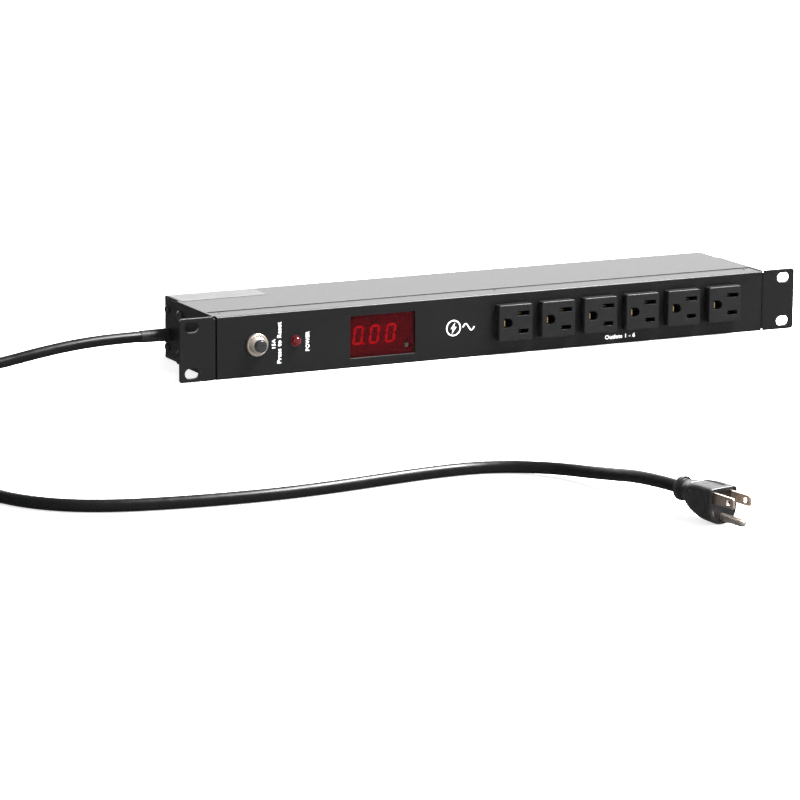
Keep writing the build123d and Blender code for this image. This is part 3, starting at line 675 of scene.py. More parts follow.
def newTree(name, inputs):
    tree = bpy.data.node_groups.new(name, "GeometryNodeTree")
    sides = tree.interface
    sides.new_socket(name="Geometry", in_out="INPUT", socket_type="NodeSocketGeometry")
    sides.new_socket(name="Geometry", in_out="OUTPUT", socket_type="NodeSocketGeometry")
    for label, kind in inputs.items():
        sides.new_socket(name=label, in_out="INPUT", socket_type="NodeSocket" + kind)
    sides.new_socket(name="Finish", in_out="INPUT", socket_type="NodeSocketMaterial")
    start = tree.nodes.new("NodeGroupInput")
    end = tree.nodes.new("NodeGroupOutput")
    return tree, start, end


def closeTree(tree, start, end, last, outName):
    realize = tree.nodes.new("GeometryNodeRealizeInstances")
    paint = tree.nodes.new("GeometryNodeSetMaterial")
    link(tree, last, outName, realize, "Geometry")
    link(tree, realize, "Geometry", paint, "Geometry")
    link(tree, start, "Finish", paint, "Material")
    link(tree, paint, "Geometry", end, "Geometry")


def runTree(name, base, tree, values):
    # runs a tree on a base object and keeps only the plain mesh that it makes
    modifier = base.modifiers.new("make", "NODES")
    modifier.node_group = tree
    for item in tree.interface.items_tree:
        if item.in_out == "INPUT" and item.name in values:
            modifier[item.identifier] = values[item.name]
    piece = plainMesh(base, name)
    piece.data.polygons.foreach_set("use_smooth", [True] * len(piece.data.polygons))
    return piece


def pointCloud(name, seats):
    # one vertex for each seat, with the way it faces
    mesh = bpy.data.meshes.new(name)
    mesh.from_pydata([seat for seat, facing in seats], [], [])
    facing = mesh.attributes.new("facing", "FLOAT_VECTOR", "POINT")
    facing.data.foreach_set("vector", [c for seat, way in seats for c in way])
    return linkMesh(name, mesh)


def screwTree():
    # a copy of one screw on each point, turned to face out and spun by chance
    tree, start, end = newTree("screws on points", {"Screw": "Object", "Seed": "Int"})
    shape = addNode(tree, "GeometryNodeObjectInfo")
    way = addNode(tree, "GeometryNodeInputNamedAttribute", data_type="FLOAT_VECTOR")
    way.inputs["Name"].default_value = "facing"
    align = addNode(tree, "FunctionNodeAlignRotationToVector", axis="Z")
    chance = addNode(tree, "FunctionNodeRandomValue", data_type="FLOAT")
    socketNamed(chance.inputs, "Max").default_value = 2 * math.pi
    spin = addNode(tree, "FunctionNodeAxisAngleToRotation")
    turn = addNode(tree, "FunctionNodeRotateRotation", rotation_space="LOCAL")
    copies = addNode(tree, "GeometryNodeInstanceOnPoints")
    link(tree, start, "Screw", shape, "Object")
    link(tree, start, "Seed", chance, "Seed")
    link(tree, chance, "Value", spin, "Angle")
    link(tree, way, "Attribute", align, "Vector")
    link(tree, align, "Rotation", turn, "Rotation")
    link(tree, spin, "Rotation", turn, "Rotate By")
    link(tree, start, "Geometry", copies, "Points")
    link(tree, shape, "Geometry", copies, "Instance")
    link(tree, turn, "Rotation", copies, "Rotation")
    closeTree(tree, start, end, copies, "Instances")
    return tree


def threadTree():
    # a fine helical ridge wound round the base shape
    tree, start, end = newTree("screw thread", {"Turns": "Float", "Radius": "Float",
                                                "Height": "Float", "Ridge": "Float"})
    spiral = addNode(tree, "GeometryNodeCurveSpiral", Resolution=48)
    ridge = addNode(tree, "GeometryNodeCurvePrimitiveCircle", Resolution=4)
    sweepAlong = addNode(tree, "GeometryNodeCurveToMesh")
    sweepAlong.inputs["Fill Caps"].default_value = True
    both = addNode(tree, "GeometryNodeJoinGeometry")
    link(tree, start, "Turns", spiral, "Rotations")
    link(tree, start, "Radius", spiral, "Start Radius")
    link(tree, start, "Radius", spiral, "End Radius")
    link(tree, start, "Height", spiral, "Height")
    link(tree, start, "Ridge", ridge, "Radius")
    link(tree, spiral, "Curve", sweepAlong, "Curve")
    link(tree, ridge, "Curve", sweepAlong, "Profile Curve")
    link(tree, sweepAlong, "Mesh", both, "Geometry")
    link(tree, start, "Geometry", both, "Geometry")
    closeTree(tree, start, end, both, "Geometry")
    return tree


def knurlTree():
    # small upright ridges all round the base shape
    tree, start, end = newTree("edge knurl", {"Count": "Int", "Radius": "Float",
                                              "Ridge": "Float", "Height": "Float",
                                              "Middle": "Vector"})
    ring = addNode(tree, "GeometryNodeMeshCircle")
    ridge = addNode(tree, "GeometryNodeMeshCylinder", Vertices=6)
    copies = addNode(tree, "GeometryNodeInstanceOnPoints")
    lift = addNode(tree, "GeometryNodeTransform")
    both = addNode(tree, "GeometryNodeJoinGeometry")
    link(tree, start, "Count", ring, "Vertices")
    link(tree, start, "Radius", ring, "Radius")
    link(tree, start, "Ridge", ridge, "Radius")
    link(tree, start, "Height", ridge, "Depth")
    link(tree, ring, "Mesh", copies, "Points")
    link(tree, ridge, "Mesh", copies, "Instance")
    link(tree, copies, "Instances", lift, "Geometry")
    link(tree, start, "Middle", lift, "Translation")
    link(tree, lift, "Geometry", both, "Geometry")
    link(tree, start, "Geometry", both, "Geometry")
    closeTree(tree, start, end, both, "Geometry")
    return tree


def ribTree():
    # rings along +Z that shrink with the sleeve's taper
    tree, start, end = newTree("sleeve ribs", {"Count": "Int", "Pitch": "Vector",
                                               "First": "Vector", "Radius": "Float",
                                               "Ridge": "Float", "Taper": "Float"})
    row = addNode(tree, "GeometryNodeMeshLine")
    circle = addNode(tree, "GeometryNodeCurvePrimitiveCircle", Resolution=48)
    ridge = addNode(tree, "GeometryNodeCurvePrimitiveCircle", Resolution=8)
    ring = addNode(tree, "GeometryNodeCurveToMesh")
    copies = addNode(tree, "GeometryNodeInstanceOnPoints")
    number = addNode(tree, "GeometryNodeInputIndex")
    shrink = addNode(tree, "ShaderNodeMath", operation="MULTIPLY")
    size = addNode(tree, "ShaderNodeMath", operation="SUBTRACT")
    size.inputs[0].default_value = 1.0
    both = addNode(tree, "GeometryNodeJoinGeometry")
    link(tree, start, "Count", row, "Count")
    link(tree, start, "First", row, "Start Location")
    link(tree, start, "Pitch", row, "Offset")
    link(tree, start, "Radius", circle, "Radius")
    link(tree, start, "Ridge", ridge, "Radius")
    link(tree, circle, "Curve", ring, "Curve")
    link(tree, ridge, "Curve", ring, "Profile Curve")
    link(tree, row, "Mesh", copies, "Points")
    link(tree, ring, "Mesh", copies, "Instance")
    tree.links.new(number.outputs["Index"], shrink.inputs[0])
    tree.links.new(socketNamed(start.outputs, "Taper"), shrink.inputs[1])
    tree.links.new(shrink.outputs[0], size.inputs[1])
    tree.links.new(size.outputs[0], socketNamed(copies.inputs, "Scale"))
    link(tree, copies, "Instances", both, "Geometry")
    link(tree, start, "Geometry", both, "Geometry")
    closeTree(tree, start, end, both, "Geometry")
    return tree


panValues = {"head": 2.9, "height": 1.9, "thread": 1.5, "length": 5.0}
bracketValues = {"head": 3.7, "height": 2.3, "thread": 2.0, "length": 8.0}
flushValues = {"head": 2.9, "height": 0.0, "thread": 1.5, "length": 6.0}
rearValues = {"head": 2.6, "height": 0.0, "thread": 1.5, "length": 5.0}


recessValues = {"span": 0.60, "depth": 0.62, "flushDepth": 1.8, "slot": 0.15,
                "taperAcross": 0.6, "taperAlong": 0.72, "clear": 0.2}


def recessCutter(size, depth, top):
    # tapered cross, wide at its top
    v = recessValues
    bm = bmesh.new()
    wide = size * v["slot"]
    for across, along in ((wide, size), (size, wide)):
        corners = [bm.verts.new((x * across * slim, y * along * short, z))
                   for z, slim, short in ((top + v["clear"] * mm, 1, 1),
                                          (top - depth, v["taperAcross"], v["taperAlong"]))
                   for x, y in ((-1, -1), (1, -1), (1, 1), (-1, 1))]
        for face in ((3, 2, 1, 0), (4, 5, 6, 7), (0, 1, 5, 4), (1, 2, 6, 5),
                     (2, 3, 7, 6), (3, 0, 4, 7)):
            bm.faces.new([corners[i] for i in face])
    return fromBmesh("recess", bm, smooth=False)


def oneScrew(values):
    r, h = values["head"] * mm, values["height"] * mm
    thread, length = values["thread"] * mm, values["length"] * mm
    if h:
        profile = [(0, h), (0.30 * r, h * 0.99), (0.55 * r, h * 0.93), (0.78 * r, h * 0.76),
                   (0.93 * r, h * 0.50), (r, h * 0.18), (r, 0)]
    else:
        profile = [(0, 0), (r - 0.00025, 0), (r - 0.0001, -0.00006), (r - 0.0001, -0.0002)]
    neck = 0 if h else -(r - thread)
    profile += [(thread, neck), (thread, -length + 0.0004), (thread - 0.0004, -length),
                (0, -length)]
    screw = lathe("screw", profile, steps=32)
    deep = max(h, recessValues["flushDepth"] * mm) * recessValues["depth"]
    cutter = recessCutter(recessValues["span"] * r, deep, h)
    cut = screw.modifiers.new("recess", "BOOLEAN")
    cut.object = cutter
    cut.operation = "DIFFERENCE"
    cut.solver = "EXACT"
    cut.use_self = True
    made = plainMesh(screw, "screw")
    bpy.data.objects.remove(cutter)
    return made


screwSeats = {"sideY": 0.0445, "sideZ": (0.0083, 0.0344), "bracketY": 0.018,
              "bracketZ": (0.0070, 0.0345), "bracketSheet": 0.002, "coverInset": 0.013,
              "coverX": (-0.207, 0.0035, 0.207), "rearX": (-0.190, -0.065, 0.065, 0.190),
              "rearZ": 0.0049}


def endSeats(out, along, heights):
    # the same seats on both ends of the case
    return [((side * out, along, z), (side, 0, 0)) for side in (-1, 1) for z in heights]


def allScrews():
    # piece, node, values, seed, and each screw's seat with the way it faces
    v = screwSeats
    coverTop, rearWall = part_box("cover_screws")[1].z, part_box("top_cover")[1].y
    return [
        ("side_screw_set", "side_screws", panValues, 3,
         endSeats(caseHalf, v["sideY"], v["sideZ"])),
        ("bracket_screw_set", "bracket_screws", bracketValues, 8,
         endSeats(caseHalf + v["bracketSheet"], v["bracketY"], v["bracketZ"])),
        ("cover_screw_set", "cover_screws", flushValues, 5,
         [((x, frontY + v["coverInset"], coverTop), (0, 0, 1)) for x in v["coverX"]]),
        ("rear_screw_set", "rear_screws", rearValues, 11,
         [((x, rearWall, v["rearZ"]), (0, 1, 0)) for x in v["rearX"]]),
    ]


def makeScrews():
    tree = screwTree()
    for name, node, values, seed, seats in allScrews():
        screw = oneScrew(values)
        piece = runTree(name, pointCloud(name, seats), tree,
                        {"Screw": screw, "Seed": seed, "Finish": finishes["screw"]})
        bpy.data.objects.remove(screw)
        creased(piece)
        finishPiece(piece, "case", (node,))


makeScrews()
print("screws are in")


breakerValues = {"bore": 4.35, "neck": 5.6, "proud": 5.2, "lip": 4.9, "tip": 6.3,
                 "stem": 2.7, "shelf": -2.7, "foot": -4.2, "threadFoot": 3.8, "threadStop": 0.2,
                 "pitch": 0.72, "ridge": 0.24, "nut": 8.0, "nutHeight": 2.6, "knurls": 60}
outwards = Matrix.Rotation(math.pi / 2, 4, "X")
bushingMiddle = centreOf("breaker_nut")
breakerPlace = Matrix.Translation((bushingMiddle.x, frontY, bushingMiddle.z)) @ outwards


def closedLathe(name, profile, steps=64):
    return lathe(name, profile + [profile[0]], steps=steps)


def makeBushing():
    v = breakerValues
    root = v["neck"] - v["ridge"]
    profile = [(v["stem"], v["foot"]), (v["stem"], v["shelf"]), (v["bore"], v["shelf"]),
               (v["bore"], v["tip"] - 0.25), (v["bore"] + 0.12, v["tip"]),
               (v["lip"] - 0.18, v["tip"]), (v["lip"], v["tip"] - 0.18),
               (v["lip"], v["proud"] + 0.08), (v["lip"] + 0.08, v["proud"]),
               (root - 0.1, v["proud"]), (root, v["proud"] - 0.1), (root, v["foot"])]
    body = closedLathe("breaker_neck", inMetres(profile))
    height = v["proud"] + v["threadFoot"] - v["threadStop"]
    lift = Matrix.Translation((0, 0, v["threadFoot"] * mm))  # the thread is wound from z 0 up
    values = {"Turns": height / v["pitch"], "Radius": root * mm, "Height": height * mm,
              "Ridge": v["ridge"] * mm, "Finish": finishes["nickel"]}
    piece = runTree("breaker_neck", place(body, lift), threadTree(), values)
    place(place(creased(piece), lift.inverted()), breakerPlace)
    finishPiece(piece, "case", ("breaker_bushing",))


def makeRingNut():
    # dished face with a rounded rim, and a knurled edge
    v = breakerValues
    r, h = v["nut"], v["nutHeight"]
    profile = [(v["neck"] + 0.06, 0), (v["neck"] + 0.06, h - 1.2), (v["neck"] + 0.5, h - 0.85),
               (6.5, h - 0.85), (6.8, h - 0.35), (7.05, h - 0.06), (7.3, h), (7.5, h - 0.05),
               (7.72, h - 0.25), (7.8, h - 0.5), (7.8, 0)]
    body = closedLathe("breaker_ring_nut", inMetres(profile))
    values = {"Count": v["knurls"], "Radius": (r - 0.27) * mm, "Ridge": 0.24 * mm,
              "Height": (h - 0.9) * mm, "Middle": (0, 0, (h - 0.8) / 2 * mm),
              "Finish": finishes["nickel"]}
    piece = runTree("breaker_ring_nut", body, knurlTree(), values)
    place(creased(piece), breakerPlace)
    finishPiece(piece, "case", ("breaker_nut",))


makeBushing()
makeRingNut()
print("breaker neck and nut are on")


reliefValues = {"root": 4.7, "tip": 4.2, "length": 22.0, "flange": 5.5, "flangeBack": -3.7,
                "flangeFront": -1.3, "ribs": 6, "firstRib": 3.0, "ribPitch": 2.9,
                "ridge": 0.30}


def makeRelief():
    v = reliefValues
    slope = (v["root"] - v["tip"]) / v["length"]
    profile = [(0, v["flangeBack"]), (v["flange"] - 0.1, v["flangeBack"]),
               (v["flange"], v["flangeBack"] + 0.2), (v["flange"], v["flangeFront"]),
               (v["root"], v["flangeFront"]), (v["root"], 0.9),
               (v["root"] - slope * 2, 2.0), (v["tip"] + 0.12, v["length"] - 0.5),
               (v["tip"], v["length"] - 0.1), (v["tip"] - 0.15, v["length"]),
               (0, v["length"])]
    sleeve = lathe("cord_relief", inMetres(profile), steps=48)
    firstRadius = v["root"] - slope * v["firstRib"] - 0.12
    values = {"Count": v["ribs"], "Pitch": (0, 0, v["ribPitch"] * mm),
              "First": (0, 0, v["firstRib"] * mm), "Radius": firstRadius * mm,
              "Ridge": v["ridge"] * mm, "Taper": slope * v["ribPitch"] / firstRadius,
              "Finish": finishes["plug"]}
    piece = runTree("cord_relief", sleeve, ribTree(), values)
    seat = Matrix.Translation((-caseHalf, reliefEnd.y, reliefEnd.z))
    place(creased(piece), seat @ Matrix.Rotation(-math.pi / 2, 4, "Y"))
    return finishPiece(piece, "case", ("cord_strain_relief",))


cordRelief = makeRelief()
print("strain relief is on")


plugValues = {"edge": 0.8, "ringPoints": 160, "steps": 84, "neckEnd": -31,
              "ovalMiddle": (-13.5, -2.4), "ovalHalf": (10.2, 6.9), "grooveDepth": 0.75,
              "panelDepth": 0.40, "topMiddle": -14.0, "topHalf": (9.5, 5.6), "topDepth": 0.55}
neckSections = [(-37.0, 5.0), (-37.0, 6.6), (-36.85, 7.05), (-36.5, 7.35), (-36.1, 7.4),
                (-35.2, 7.4), (-34.8, 7.3), (-34.5, 7.0), (-34.4, 6.5), (-34.35, 6.1),
                (-34.0, 5.95), (-33.2, 5.9), (-32.2, 5.95), (-31.4, 6.1)]
bodyKeys = {
    "half": [(-31, 6.3), (-28, 7.0), (-24, 8.5), (-19, 9.85), (-12, 10.35), (0, 10.5)],
    "top": [(-31, 6.2), (-27, 6.6), (-21, 7.3), (-14, 7.75), (-7, 7.8), (0, 7.8)],
    "low": [(-31, -6.3), (-28, -7.6), (-24, -9.6), (-18, -11.9), (-11, -13.5), (0, -14.0)],
    "middle": [(-31, 0), (-26, -0.6), (-18, -2.2), (-9, -3.2), (0, -3.5)],
    "square": [(-31, 2.3), (-28, 3.6), (-24, 6.0), (-18, 8.5), (0, 9.5)],
    "belly": [(-31, 2.1), (-22, 2.3), (0, 2.5)],
}


def alongKeys(keys, x):
    # smooth curve through the keys, with no overshoot at the ends
    for (x0, y0), (x1, y1) in zip(keys, keys[1:]):
        if x <= x1:
            break
    n = keys.index((x0, y0))
    before = keys[max(n - 1, 0)]
    after = keys[min(n + 2, len(keys) - 1)]
    slope0 = (y1 - before[1]) / (x1 - before[0])
    slope1 = (after[1] - y0) / (after[0] - x0)
    w = x1 - x0
    t = (x - x0) / w
    return ((2 * t**3 - 3 * t**2 + 1) * y0 + (t**3 - 2 * t**2 + t) * w * slope0
            + (3 * t**2 - 2 * t**3) * y1 + (t**3 - t**2) * w * slope1)


def sectionRing(half, top, low, middle, square, belly, count):
    # evenly spaced points round a section, from the bottom up the +Y side
    outline = []
    for n in range(401):
        angle = -math.pi / 2 + 2 * math.pi * n / 400
        c, s = math.cos(angle), math.sin(angle)
        power = 2 / (square if s > 0 else belly)
        reach = (top - middle) if s > 0 else (middle - low)
        y = half * math.copysign(abs(c) ** power, c)
        z = middle + reach * math.copysign(abs(s) ** power, s)
        outline.append((y, z))
    lengths = [0.0]
    for a, b in zip(outline, outline[1:]):
        lengths.append(lengths[-1] + math.dist(a, b))
    ring, at = [], 0
    for n in range(count):
        wanted = lengths[-1] * n / count
        while lengths[at + 1] < wanted:
            at += 1
        share = (wanted - lengths[at]) / (lengths[at + 1] - lengths[at])
        (y0, z0), (y1, z1) = outline[at], outline[at + 1]
        ring.append((y0 + (y1 - y0) * share, z0 + (z1 - z0) * share))
    return ring


def plugRelief(x, y, z, half, top):
    # how far the surface is sunk: an oval groove on each side, a panel on the top
    v = plugValues
    sunk = 0.0
    if abs(y) > half * 0.80 and z < top - 1.2:
        (ovalX, ovalZ), (halfX, halfZ) = v["ovalMiddle"], v["ovalHalf"]
        oval = ((abs(x - ovalX) / halfX) ** 2.5 + (abs(z - ovalZ) / halfZ) ** 2.5) ** 0.4
        sunk += v["grooveDepth"] * math.exp(-(((oval - 1) / 0.055) ** 2))
        sunk += v["panelDepth"] * (1 - smoothStep(0.90, 1.0, oval))
    if z > top - 0.9:
        plate = max(abs(x - v["topMiddle"]) / v["topHalf"][0], abs(y) / v["topHalf"][1])
        sunk += v["topDepth"] * (1 - smoothStep(0.93, 1.03, plate))
    return sunk


def shrunk(ring, centre, inset):
    moved = []
    for y, z in ring:
        away = Vector((y - centre[0], z - centre[1]))
        away = away * (1 - inset / away.length)
        moved.append((centre[0] + away.x, centre[1] + away.y))
    return moved


def plugRings():
    v = plugValues
    count = v["ringPoints"]
    rings = []
    for x, r in neckSections:
        rings.append((x, sectionRing(r, r, -r, 0, 2, 2, count)))
    steps = v["steps"]
    bodyEnd = -v["edge"]
    for n in range(steps + 1):
        x = v["neckEnd"] + (bodyEnd - v["neckEnd"]) * n / steps
        k = {name: alongKeys(keys, x) for name, keys in bodyKeys.items()}
        ring = sectionRing(k["half"], k["top"], k["low"], k["middle"], k["square"],
                           k["belly"], count)
        sunken = []
        for y, z in ring:
            depth = plugRelief(x, y, z, k["half"], k["top"])
            away = Vector((y, z - k["middle"])).normalized() if depth else Vector((0, 0))
            if depth and z > k["top"] - 0.9:
                away = Vector((0, 1))
            elif depth:
                away = Vector((math.copysign(1, y), 0))
            sunken.append((y - away.x * depth, z - away.y * depth))
        rings.append((x, sunken))
    k = {name: keys[-1][1] for name, keys in bodyKeys.items()}
    face = sectionRing(k["half"], k["top"], k["low"], k["middle"], k["square"], k["belly"],
                       count)
    centre = (0, k["middle"])
    for n in range(1, 6):
        turn = math.pi / 2 * n / 5
        rings.append((bodyEnd + v["edge"] * math.sin(turn),
                      shrunk(face, centre, v["edge"] * (1 - math.cos(turn)))))
    for inset, x in ((2.4, 0.0), (2.6, -0.12), (2.9, -0.25), (3.4, -0.25), (6.5, -0.25)):
        rings.append((x, shrunk(face, centre, inset)))
    return rings, centre


def makePlugBody():
    rings, centre = plugRings()
    bm = bmesh.new()
    made = [[bm.verts.new((x * mm, y * mm, z * mm)) for y, z in ring] for x, ring in rings]
    count = plugValues["ringPoints"]
    for first, second in zip(made, made[1:]):
        for n in range(count):
            after = (n + 1) % count
            bm.faces.new((first[n], first[after], second[after], second[n]))
    for ring, x, z in ((made[0], rings[0][0], 0), (made[-1], rings[-1][0], centre[1])):
        pole = bm.verts.new((x * mm, 0, z * mm))
        for n in range(count):
            bm.faces.new((ring[n], ring[(n + 1) % count], pole))
    piece = fromBmesh("plug_moulding", bm, finishes["plug"])
    place(creased(piece, 50), plugMatrix)
    return finishPiece(piece, "case", ("plug_body",))


bladeValues = {"thickness": 1.5, "height": 6.3, "reach": 16.5, "buried": 5.0, "hole": 1.6,
               "holeAt": 12.2, "spacing": 12.7, "row": 2.2, "edge": 0.22, "corner": 1.5}


def makeBlades():
    v = bladeValues
    half, corner = v["height"] / 2, v["corner"]
    tip = [(v["reach"] - corner + corner * math.sin(a), half - corner + corner * math.cos(a))
           for a in [math.pi / 2 * n / 6 for n in range(7)]]
    outline = [(-v["buried"], -half)] + [(x, -z) for x, z in tip]
    outline += [(x, z) for x, z in reversed(tip)] + [(-v["buried"], half)]
    hole = circlePoints(v["hole"], 28, (v["holeAt"], 0))
    blades = []
    for side in (-1, 1):
        blade = sheetShape("blade", [inMetres(outline), inMetres(hole)],
                           v["thickness"] * mm, v["edge"] * mm)
        stand = Matrix.Rotation(math.pi / 2, 4, "X")
        row = Matrix.Translation((0, side * v["spacing"] / 2 * mm, v["row"] * mm))
        blades.append(place(blade, row @ stand))
    piece = joined("plug_blade_pair", blades, finishes["blade"])
    place(creased(piece), plugMatrix)
    return finishPiece(piece, "case", ("plug_blades",))


pinValues = {"radius": 2.35, "reach": 19.5, "buried": 5.0, "below": 11.9, "nose": 3.2}


def makePin():
    v = pinValues
    r = v["radius"]
    profile = [(0, -v["buried"]), (r, -v["buried"]), (r, v["reach"] - v["nose"])]
    for n in range(1, 9):
        turn = math.pi / 2 * n / 8
        profile.append((r * math.cos(turn), v["reach"] - v["nose"] + v["nose"] * math.sin(turn)))
    profile[-1] = (0, v["reach"])
    piece = lathe("plug_earth_pin", inMetres(profile), finishes["nickel"], 40)
    low = (v["below"] - bladeValues["row"]) * mm
    along = Matrix.Translation((0, 0, -low)) @ Matrix.Rotation(math.pi / 2, 4, "Y")
    place(creased(piece), plugMatrix @ along)
    return finishPiece(piece, "case", ("plug_ground_pin",))


plugPieces = [makePlugBody(), makeBlades(), makePin()]
print("plug is on")


strapValues = {"width": 12.0, "thickness": 0.55, "gap": 0.15, "edge": 0.25, "thin": 0.12}


def crossOf(a, b, c):
    return (b[0] - a[0]) * (c[1] - a[1]) - (b[1] - a[1]) * (c[0] - a[0])


def hull(points):
    # convex outline, counter-clockwise
    points = sorted(set(points))
    sides = []
    for ordered in (points, points[::-1]):
        side = []
        for p in ordered:
            while len(side) > 1 and crossOf(side[-2], side[-1], p) <= 0:
                side.pop()
            side.append(p)
        sides += side[:-1]
    return sides


def grown(outline, n, out):
    before, here = Vector(outline[n - 1]), Vector(outline[n])
    after = Vector(outline[(n + 1) % len(outline)])
    along = ((here - before).normalized() + (after - here).normalized()).normalized()
    return here.x + along.y * out, here.y - along.x * out


def makeStrap():
    # wraps the three turns at the front of the coil
    v = strapValues
    radius = cordValues["diameter"] / 2 / mm + v["gap"]
    outer, inner, lift = cordValues["outer"], cordValues["inner"], cordValues["strapLift"]
    inwards = 1 - smoothStep(*cordValues["movesOut"], 2 + cordValues["strapAt"])
    topTurn = outer - (outer - inner) * inwards
    turns = [(outer, cordFloor + lift), (inner, cordFloor + lift),
             (topTurn, cordValues["top"] + lift)]
    cloud = []
    for out, height in turns:
        cloud += circlePoints(radius, 40, (-out / mm, height / mm))
    order = hull(cloud)
    bm = bmesh.new()
    loops = []
    half, edge, thin = v["width"] / 2, v["edge"], v["thin"]
    for x, out in ((-half, thin), (-half + edge, 0), (half - edge, 0), (half, thin)):
        loops.append([(x, grown(order, n, v["thickness"] - out)) for n in range(len(order))])
    for x, out in ((half, thin), (-half, thin)):
        loops.append([(x, grown(order, n, out)) for n in range(len(order))])
    rings = [[bm.verts.new((x * mm, y * mm, z * mm)) for x, (y, z) in loop] for loop in loops]
    rings.append(rings[0])
    for first, second in zip(rings, rings[1:]):
        for n in range(len(order)):
            after = (n + 1) % len(order)
            bm.faces.new((first[n], first[after], second[after], second[n]))
    piece = fromBmesh("cord_strap", bm, finishes["strap"])
    place(creased(piece, 50), Matrix.Translation((coilMiddle.x, coilMiddle.y, 0)))
    return finishPiece(piece, "case", ("cord_tie",))


cordStrap = makeStrap()
print("coil is tied")


digitValues = {"left": -110.4, "low": 14.4, "width": 7.6, "height": 13.4, "pitch": 12.35,
               "bar": 1.7, "gap": 0.20, "slant": 7.5, "deep": 0.12, "text": ["0.", "0", "0"]}
litBars = {"0": "abcdef", "1": "bc", "2": "abged", "3": "abgcd", "4": "fgbc", "5": "afgcd",
           "6": "afgedc", "7": "abc", "8": "abcdefg", "9": "abcdfg"}


def barOutline(length, bar, centre, upright):
    tip = bar / 2
    shape = [(-length / 2, 0), (-length / 2 + tip, tip), (length / 2 - tip, tip),
             (length / 2, 0), (length / 2 - tip, -tip), (-length / 2 + tip, -tip)]
    if upright:
        shape = [(-y, x) for x, y in shape]
    return [(x + centre[0], y + centre[1]) for x, y in shape]


def digitBars(v):
    # the seven bars of a digit, its lower left corner at the origin
    w, h, t = v["width"], v["height"], v["bar"]
    across, tall = w - t - v["gap"], (h - t) / 2 - v["gap"]
    left, right, low, high = t / 2, w - t / 2, t / 2, h - t / 2
    return {"a": barOutline(across, t, (w / 2, high), False),
            "b": barOutline(tall, t, (right, (h / 2 + high) / 2), True),
            "c": barOutline(tall, t, (right, (h / 2 + low) / 2), True),
            "d": barOutline(across, t, (w / 2, low), False),
            "e": barOutline(tall, t, (left, (h / 2 + low) / 2), True),
            "f": barOutline(tall, t, (left, (h / 2 + high) / 2), True),
            "g": barOutline(across, t, (w / 2, h / 2), False)}


def makeDigits():
    v = digitValues
    slant = math.tan(math.radians(v["slant"]))
    bars = digitBars(v)
    shapes = {"lit": [], "dark": []}
    for n, character in enumerate(v["text"]):
        on = litBars[character[0]]
        for name, outline in bars.items():
            shapes["lit" if name in on else "dark"].append((n, outline))
        point = circlePoints(v["bar"] * 0.5, 16, (v["width"] + 0.95, v["bar"] * 0.5))
        shapes["lit" if "." in character else "dark"].append((n, point))
    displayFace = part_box("meter_display")[0].y
    spot = Matrix.Translation((v["left"] * mm, displayFace, v["low"] * mm)) @ outwards
    for state, found in shapes.items():
        bm = bmesh.new()
        for n, outline in found:
            flat = [((x + y * slant + n * v["pitch"]) * mm, y * mm) for x, y in outline]
            low = [bm.verts.new((x, y, 0)) for x, y in flat]
            high = [bm.verts.new((x, y, v["deep"] * mm)) for x, y in flat]
            bm.faces.new(high)
            bm.faces.new(low[::-1])
            for k in range(len(flat)):
                after = (k + 1) % len(flat)
                bm.faces.new((low[k], low[after], high[after], high[k]))
        piece = fromBmesh("digits_" + state, bm, finishes[state], smooth=False)
        place(piece, spot)
        finishPiece(piece, "case")


makeDigits()
print("digits are on")


inkDeep = 0.00003
inkValues = {"thicken": 0.020, "spacing": 1.08}
legends = [
    # name, words, left, low, width, height, turned to read upwards
    ("legend_rating", "15A", -173.5, 18.6, 2.6, 6.3, True),
    ("legend_reset", "Press to Reset", -169.6, 7.9, 3.1, 28.4, True),
    ("legend_power", "POWER", -148.2, 14.8, 2.8, 13.6, True),
    ("legend_outlets", "Outlets 1 - 6", 85.6, 3.9, 24.4, 2.9, False),
]


def printText(name, words, left, low, width, height, turned):
    curve = bpy.data.curves.new(name, "FONT")
    curve.body = words
    curve.extrude = inkDeep / 2 / mm
    curve.offset = inkValues["thicken"]
    curve.space_character = inkValues["spacing"]
    text = bpy.data.objects.new(name, curve)
    scene.collection.objects.link(text)
    piece = plainMesh(text, name, finishes["ink"])
    bpy.data.curves.remove(curve)
    points = [vertex.co for vertex in piece.data.vertices]
    corner = Vector((min(p.x for p in points), min(p.y for p in points), 0))
    size = Vector((max(p.x for p in points), max(p.y for p in points), 0)) - corner
    wide, tall = (height, width) if turned else (width, height)
    fit = Matrix.Diagonal((wide / size.x * mm, tall / size.y * mm, mm, 1))
    spin = Matrix.Rotation(math.pi / 2, 4, "Z") if turned else Matrix.Identity(4)
    shift = Matrix.Translation((width * mm if turned else 0, 0, 0))
    seat = Matrix.Translation((left * mm, frontY, low * mm)) @ outwards
    place(piece, seat @ shift @ spin @ fit @ Matrix.Translation(-corner))
    finishPiece(piece, "case")


markValues = {"x": -35.0, "z": 21.65, "ring": 5.7, "line": 0.85, "waveX": -23.2,
              "waveWide": 9.0, "waveHigh": 2.3, "waveSteps": 28}


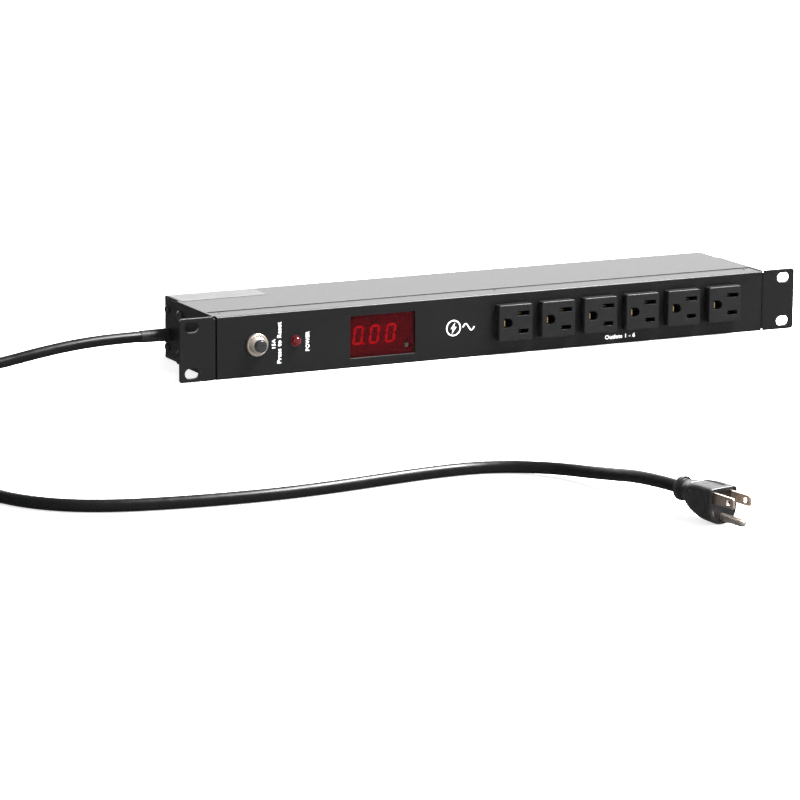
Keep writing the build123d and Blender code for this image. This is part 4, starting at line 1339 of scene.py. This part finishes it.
def makeMark():
    # plain sign for mains power: a bolt in a ring, with a wave beside it
    v = markValues
    ring = sheetShape("ring", [inMetres(circlePoints(r, 48))
                               for r in (v["ring"], v["ring"] - v["line"])], inkDeep)
    bolt = [(1.3, 4.0), (-2.3, -0.55), (-0.35, -0.55), (-1.3, -4.0), (2.3, 0.6), (0.3, 0.6)]
    flash = sheetShape("bolt", [inMetres(bolt)], inkDeep)
    count = v["waveSteps"]
    wave = []
    for side, steps in ((1, range(count + 1)), (-1, range(count, -1, -1))):
        for n in steps:
            t = n / count
            slope = v["waveHigh"] * 2 * math.pi / v["waveWide"] * math.cos(2 * math.pi * t)
            normal = Vector((-slope, 1)).normalized() * v["line"] / 2 * side
            wave.append(((v["waveX"] - v["x"] + (t - 0.5) * v["waveWide"] + normal.x) * mm,
                         (v["waveHigh"] * math.sin(2 * math.pi * t) + normal.y) * mm))
    sine = sheetShape("wave", [wave], inkDeep)
    piece = joined("mains_mark", [ring, flash, sine], finishes["ink"])
    place(piece, Matrix.Translation((v["x"] * mm, frontY, v["z"] * mm)) @ outwards)
    finishPiece(piece, "case")


borderValues = {"outer": 1.2, "inner": 1.55}


def makeLabelBorder():
    low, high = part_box("rating_label")
    size = Vector((high.x - low.x, high.y - low.y)) / 2
    outlines = []
    for inset in (borderValues["outer"] * mm, borderValues["inner"] * mm):
        w, h = size.x - inset, size.y - inset
        outlines.append([(-w, -h), (w, -h), (w, h), (-w, h)])
    piece = sheetShape("label_border", outlines, inkDeep, material=finishes["border"])
    middle = (low + high) / 2
    place(piece, Matrix.Translation((middle.x, middle.y, high.z)))
    finishPiece(piece, "case")


for legend in legends:
    printText(*legend)
makeMark()
makeLabelBorder()
print("printing is on")


studio = {"darkSide": 0.13, "brightSide": 0.56, "facing": (0.25, -0.85, 0.45),
          "turnsDark": -0.6, "turnsBright": 0.9, "floor": 0.86, "glow": 0.70, "floorHalf": 9}
panels = [
    # name, middle, what it points at, size, power
    ("back panel", (0.6, 3.2, 1.1), (0, 0, 0.1), (5.0, 1.8), 76.0),
    ("top panel", (0.80, -0.40, 1.65), (0, -0.05, 0), (1.5, 0.3), 210.0),
]


def addArea(name, middle, target, size, power):
    light = bpy.data.lights.new(name, "AREA")
    light.shape = "RECTANGLE"
    light.size, light.size_y = size
    light.energy = power
    lamp = bpy.data.objects.new(name, light)
    lamp.location = middle
    lamp.rotation_euler = (Vector(target) - Vector(middle)).to_track_quat("-Z", "Y").to_euler()
    scene.collection.objects.link(lamp)


def makeStudio():
    # dark behind the object and bright in front of it, as in a room with one bright side
    world = bpy.data.worlds.new("studio")
    world.use_nodes = True
    tree = world.node_tree
    away = addNode(tree, "ShaderNodeTexCoord")
    towards = addNode(tree, "ShaderNodeVectorMath", operation="DOT_PRODUCT")
    towards.inputs[1].default_value = studio["facing"]
    spread = addNode(tree, "ShaderNodeMapRange")
    spread.inputs["From Min"].default_value = studio["turnsDark"]
    spread.inputs["From Max"].default_value = studio["turnsBright"]
    spread.inputs["To Min"].default_value = studio["darkSide"]
    spread.inputs["To Max"].default_value = studio["brightSide"]
    shader = tree.nodes["Background"]
    tree.links.new(away.outputs["Generated"], towards.inputs[0])
    tree.links.new(towards.outputs["Value"], spread.inputs["Value"])
    tree.links.new(spread.outputs["Result"], shader.inputs["Strength"])
    shader.inputs["Color"].default_value = (1, 1, 1, 1)
    scene.world = world
    scene.view_settings.view_transform = "Standard"
    bm = bmesh.new()
    bmesh.ops.create_grid(bm, x_segments=8, y_segments=8, size=studio["floorHalf"])
    grey = (studio["floor"],) * 3
    paint, tree, shader = newFinish("pale floor", grey, 0.9, specular=0.1)
    mottle(tree, shader, grey, 0.01, 0.5)
    shader.inputs["Emission Color"].default_value = (1, 1, 1, 1)
    shader.inputs["Emission Strength"].default_value = studio["glow"]
    floor = fromBmesh("floor", bm, paint)
    floor.visible_glossy = False
    for panel in panels:
        addArea(*panel)


makeStudio()
print("studio is lit")
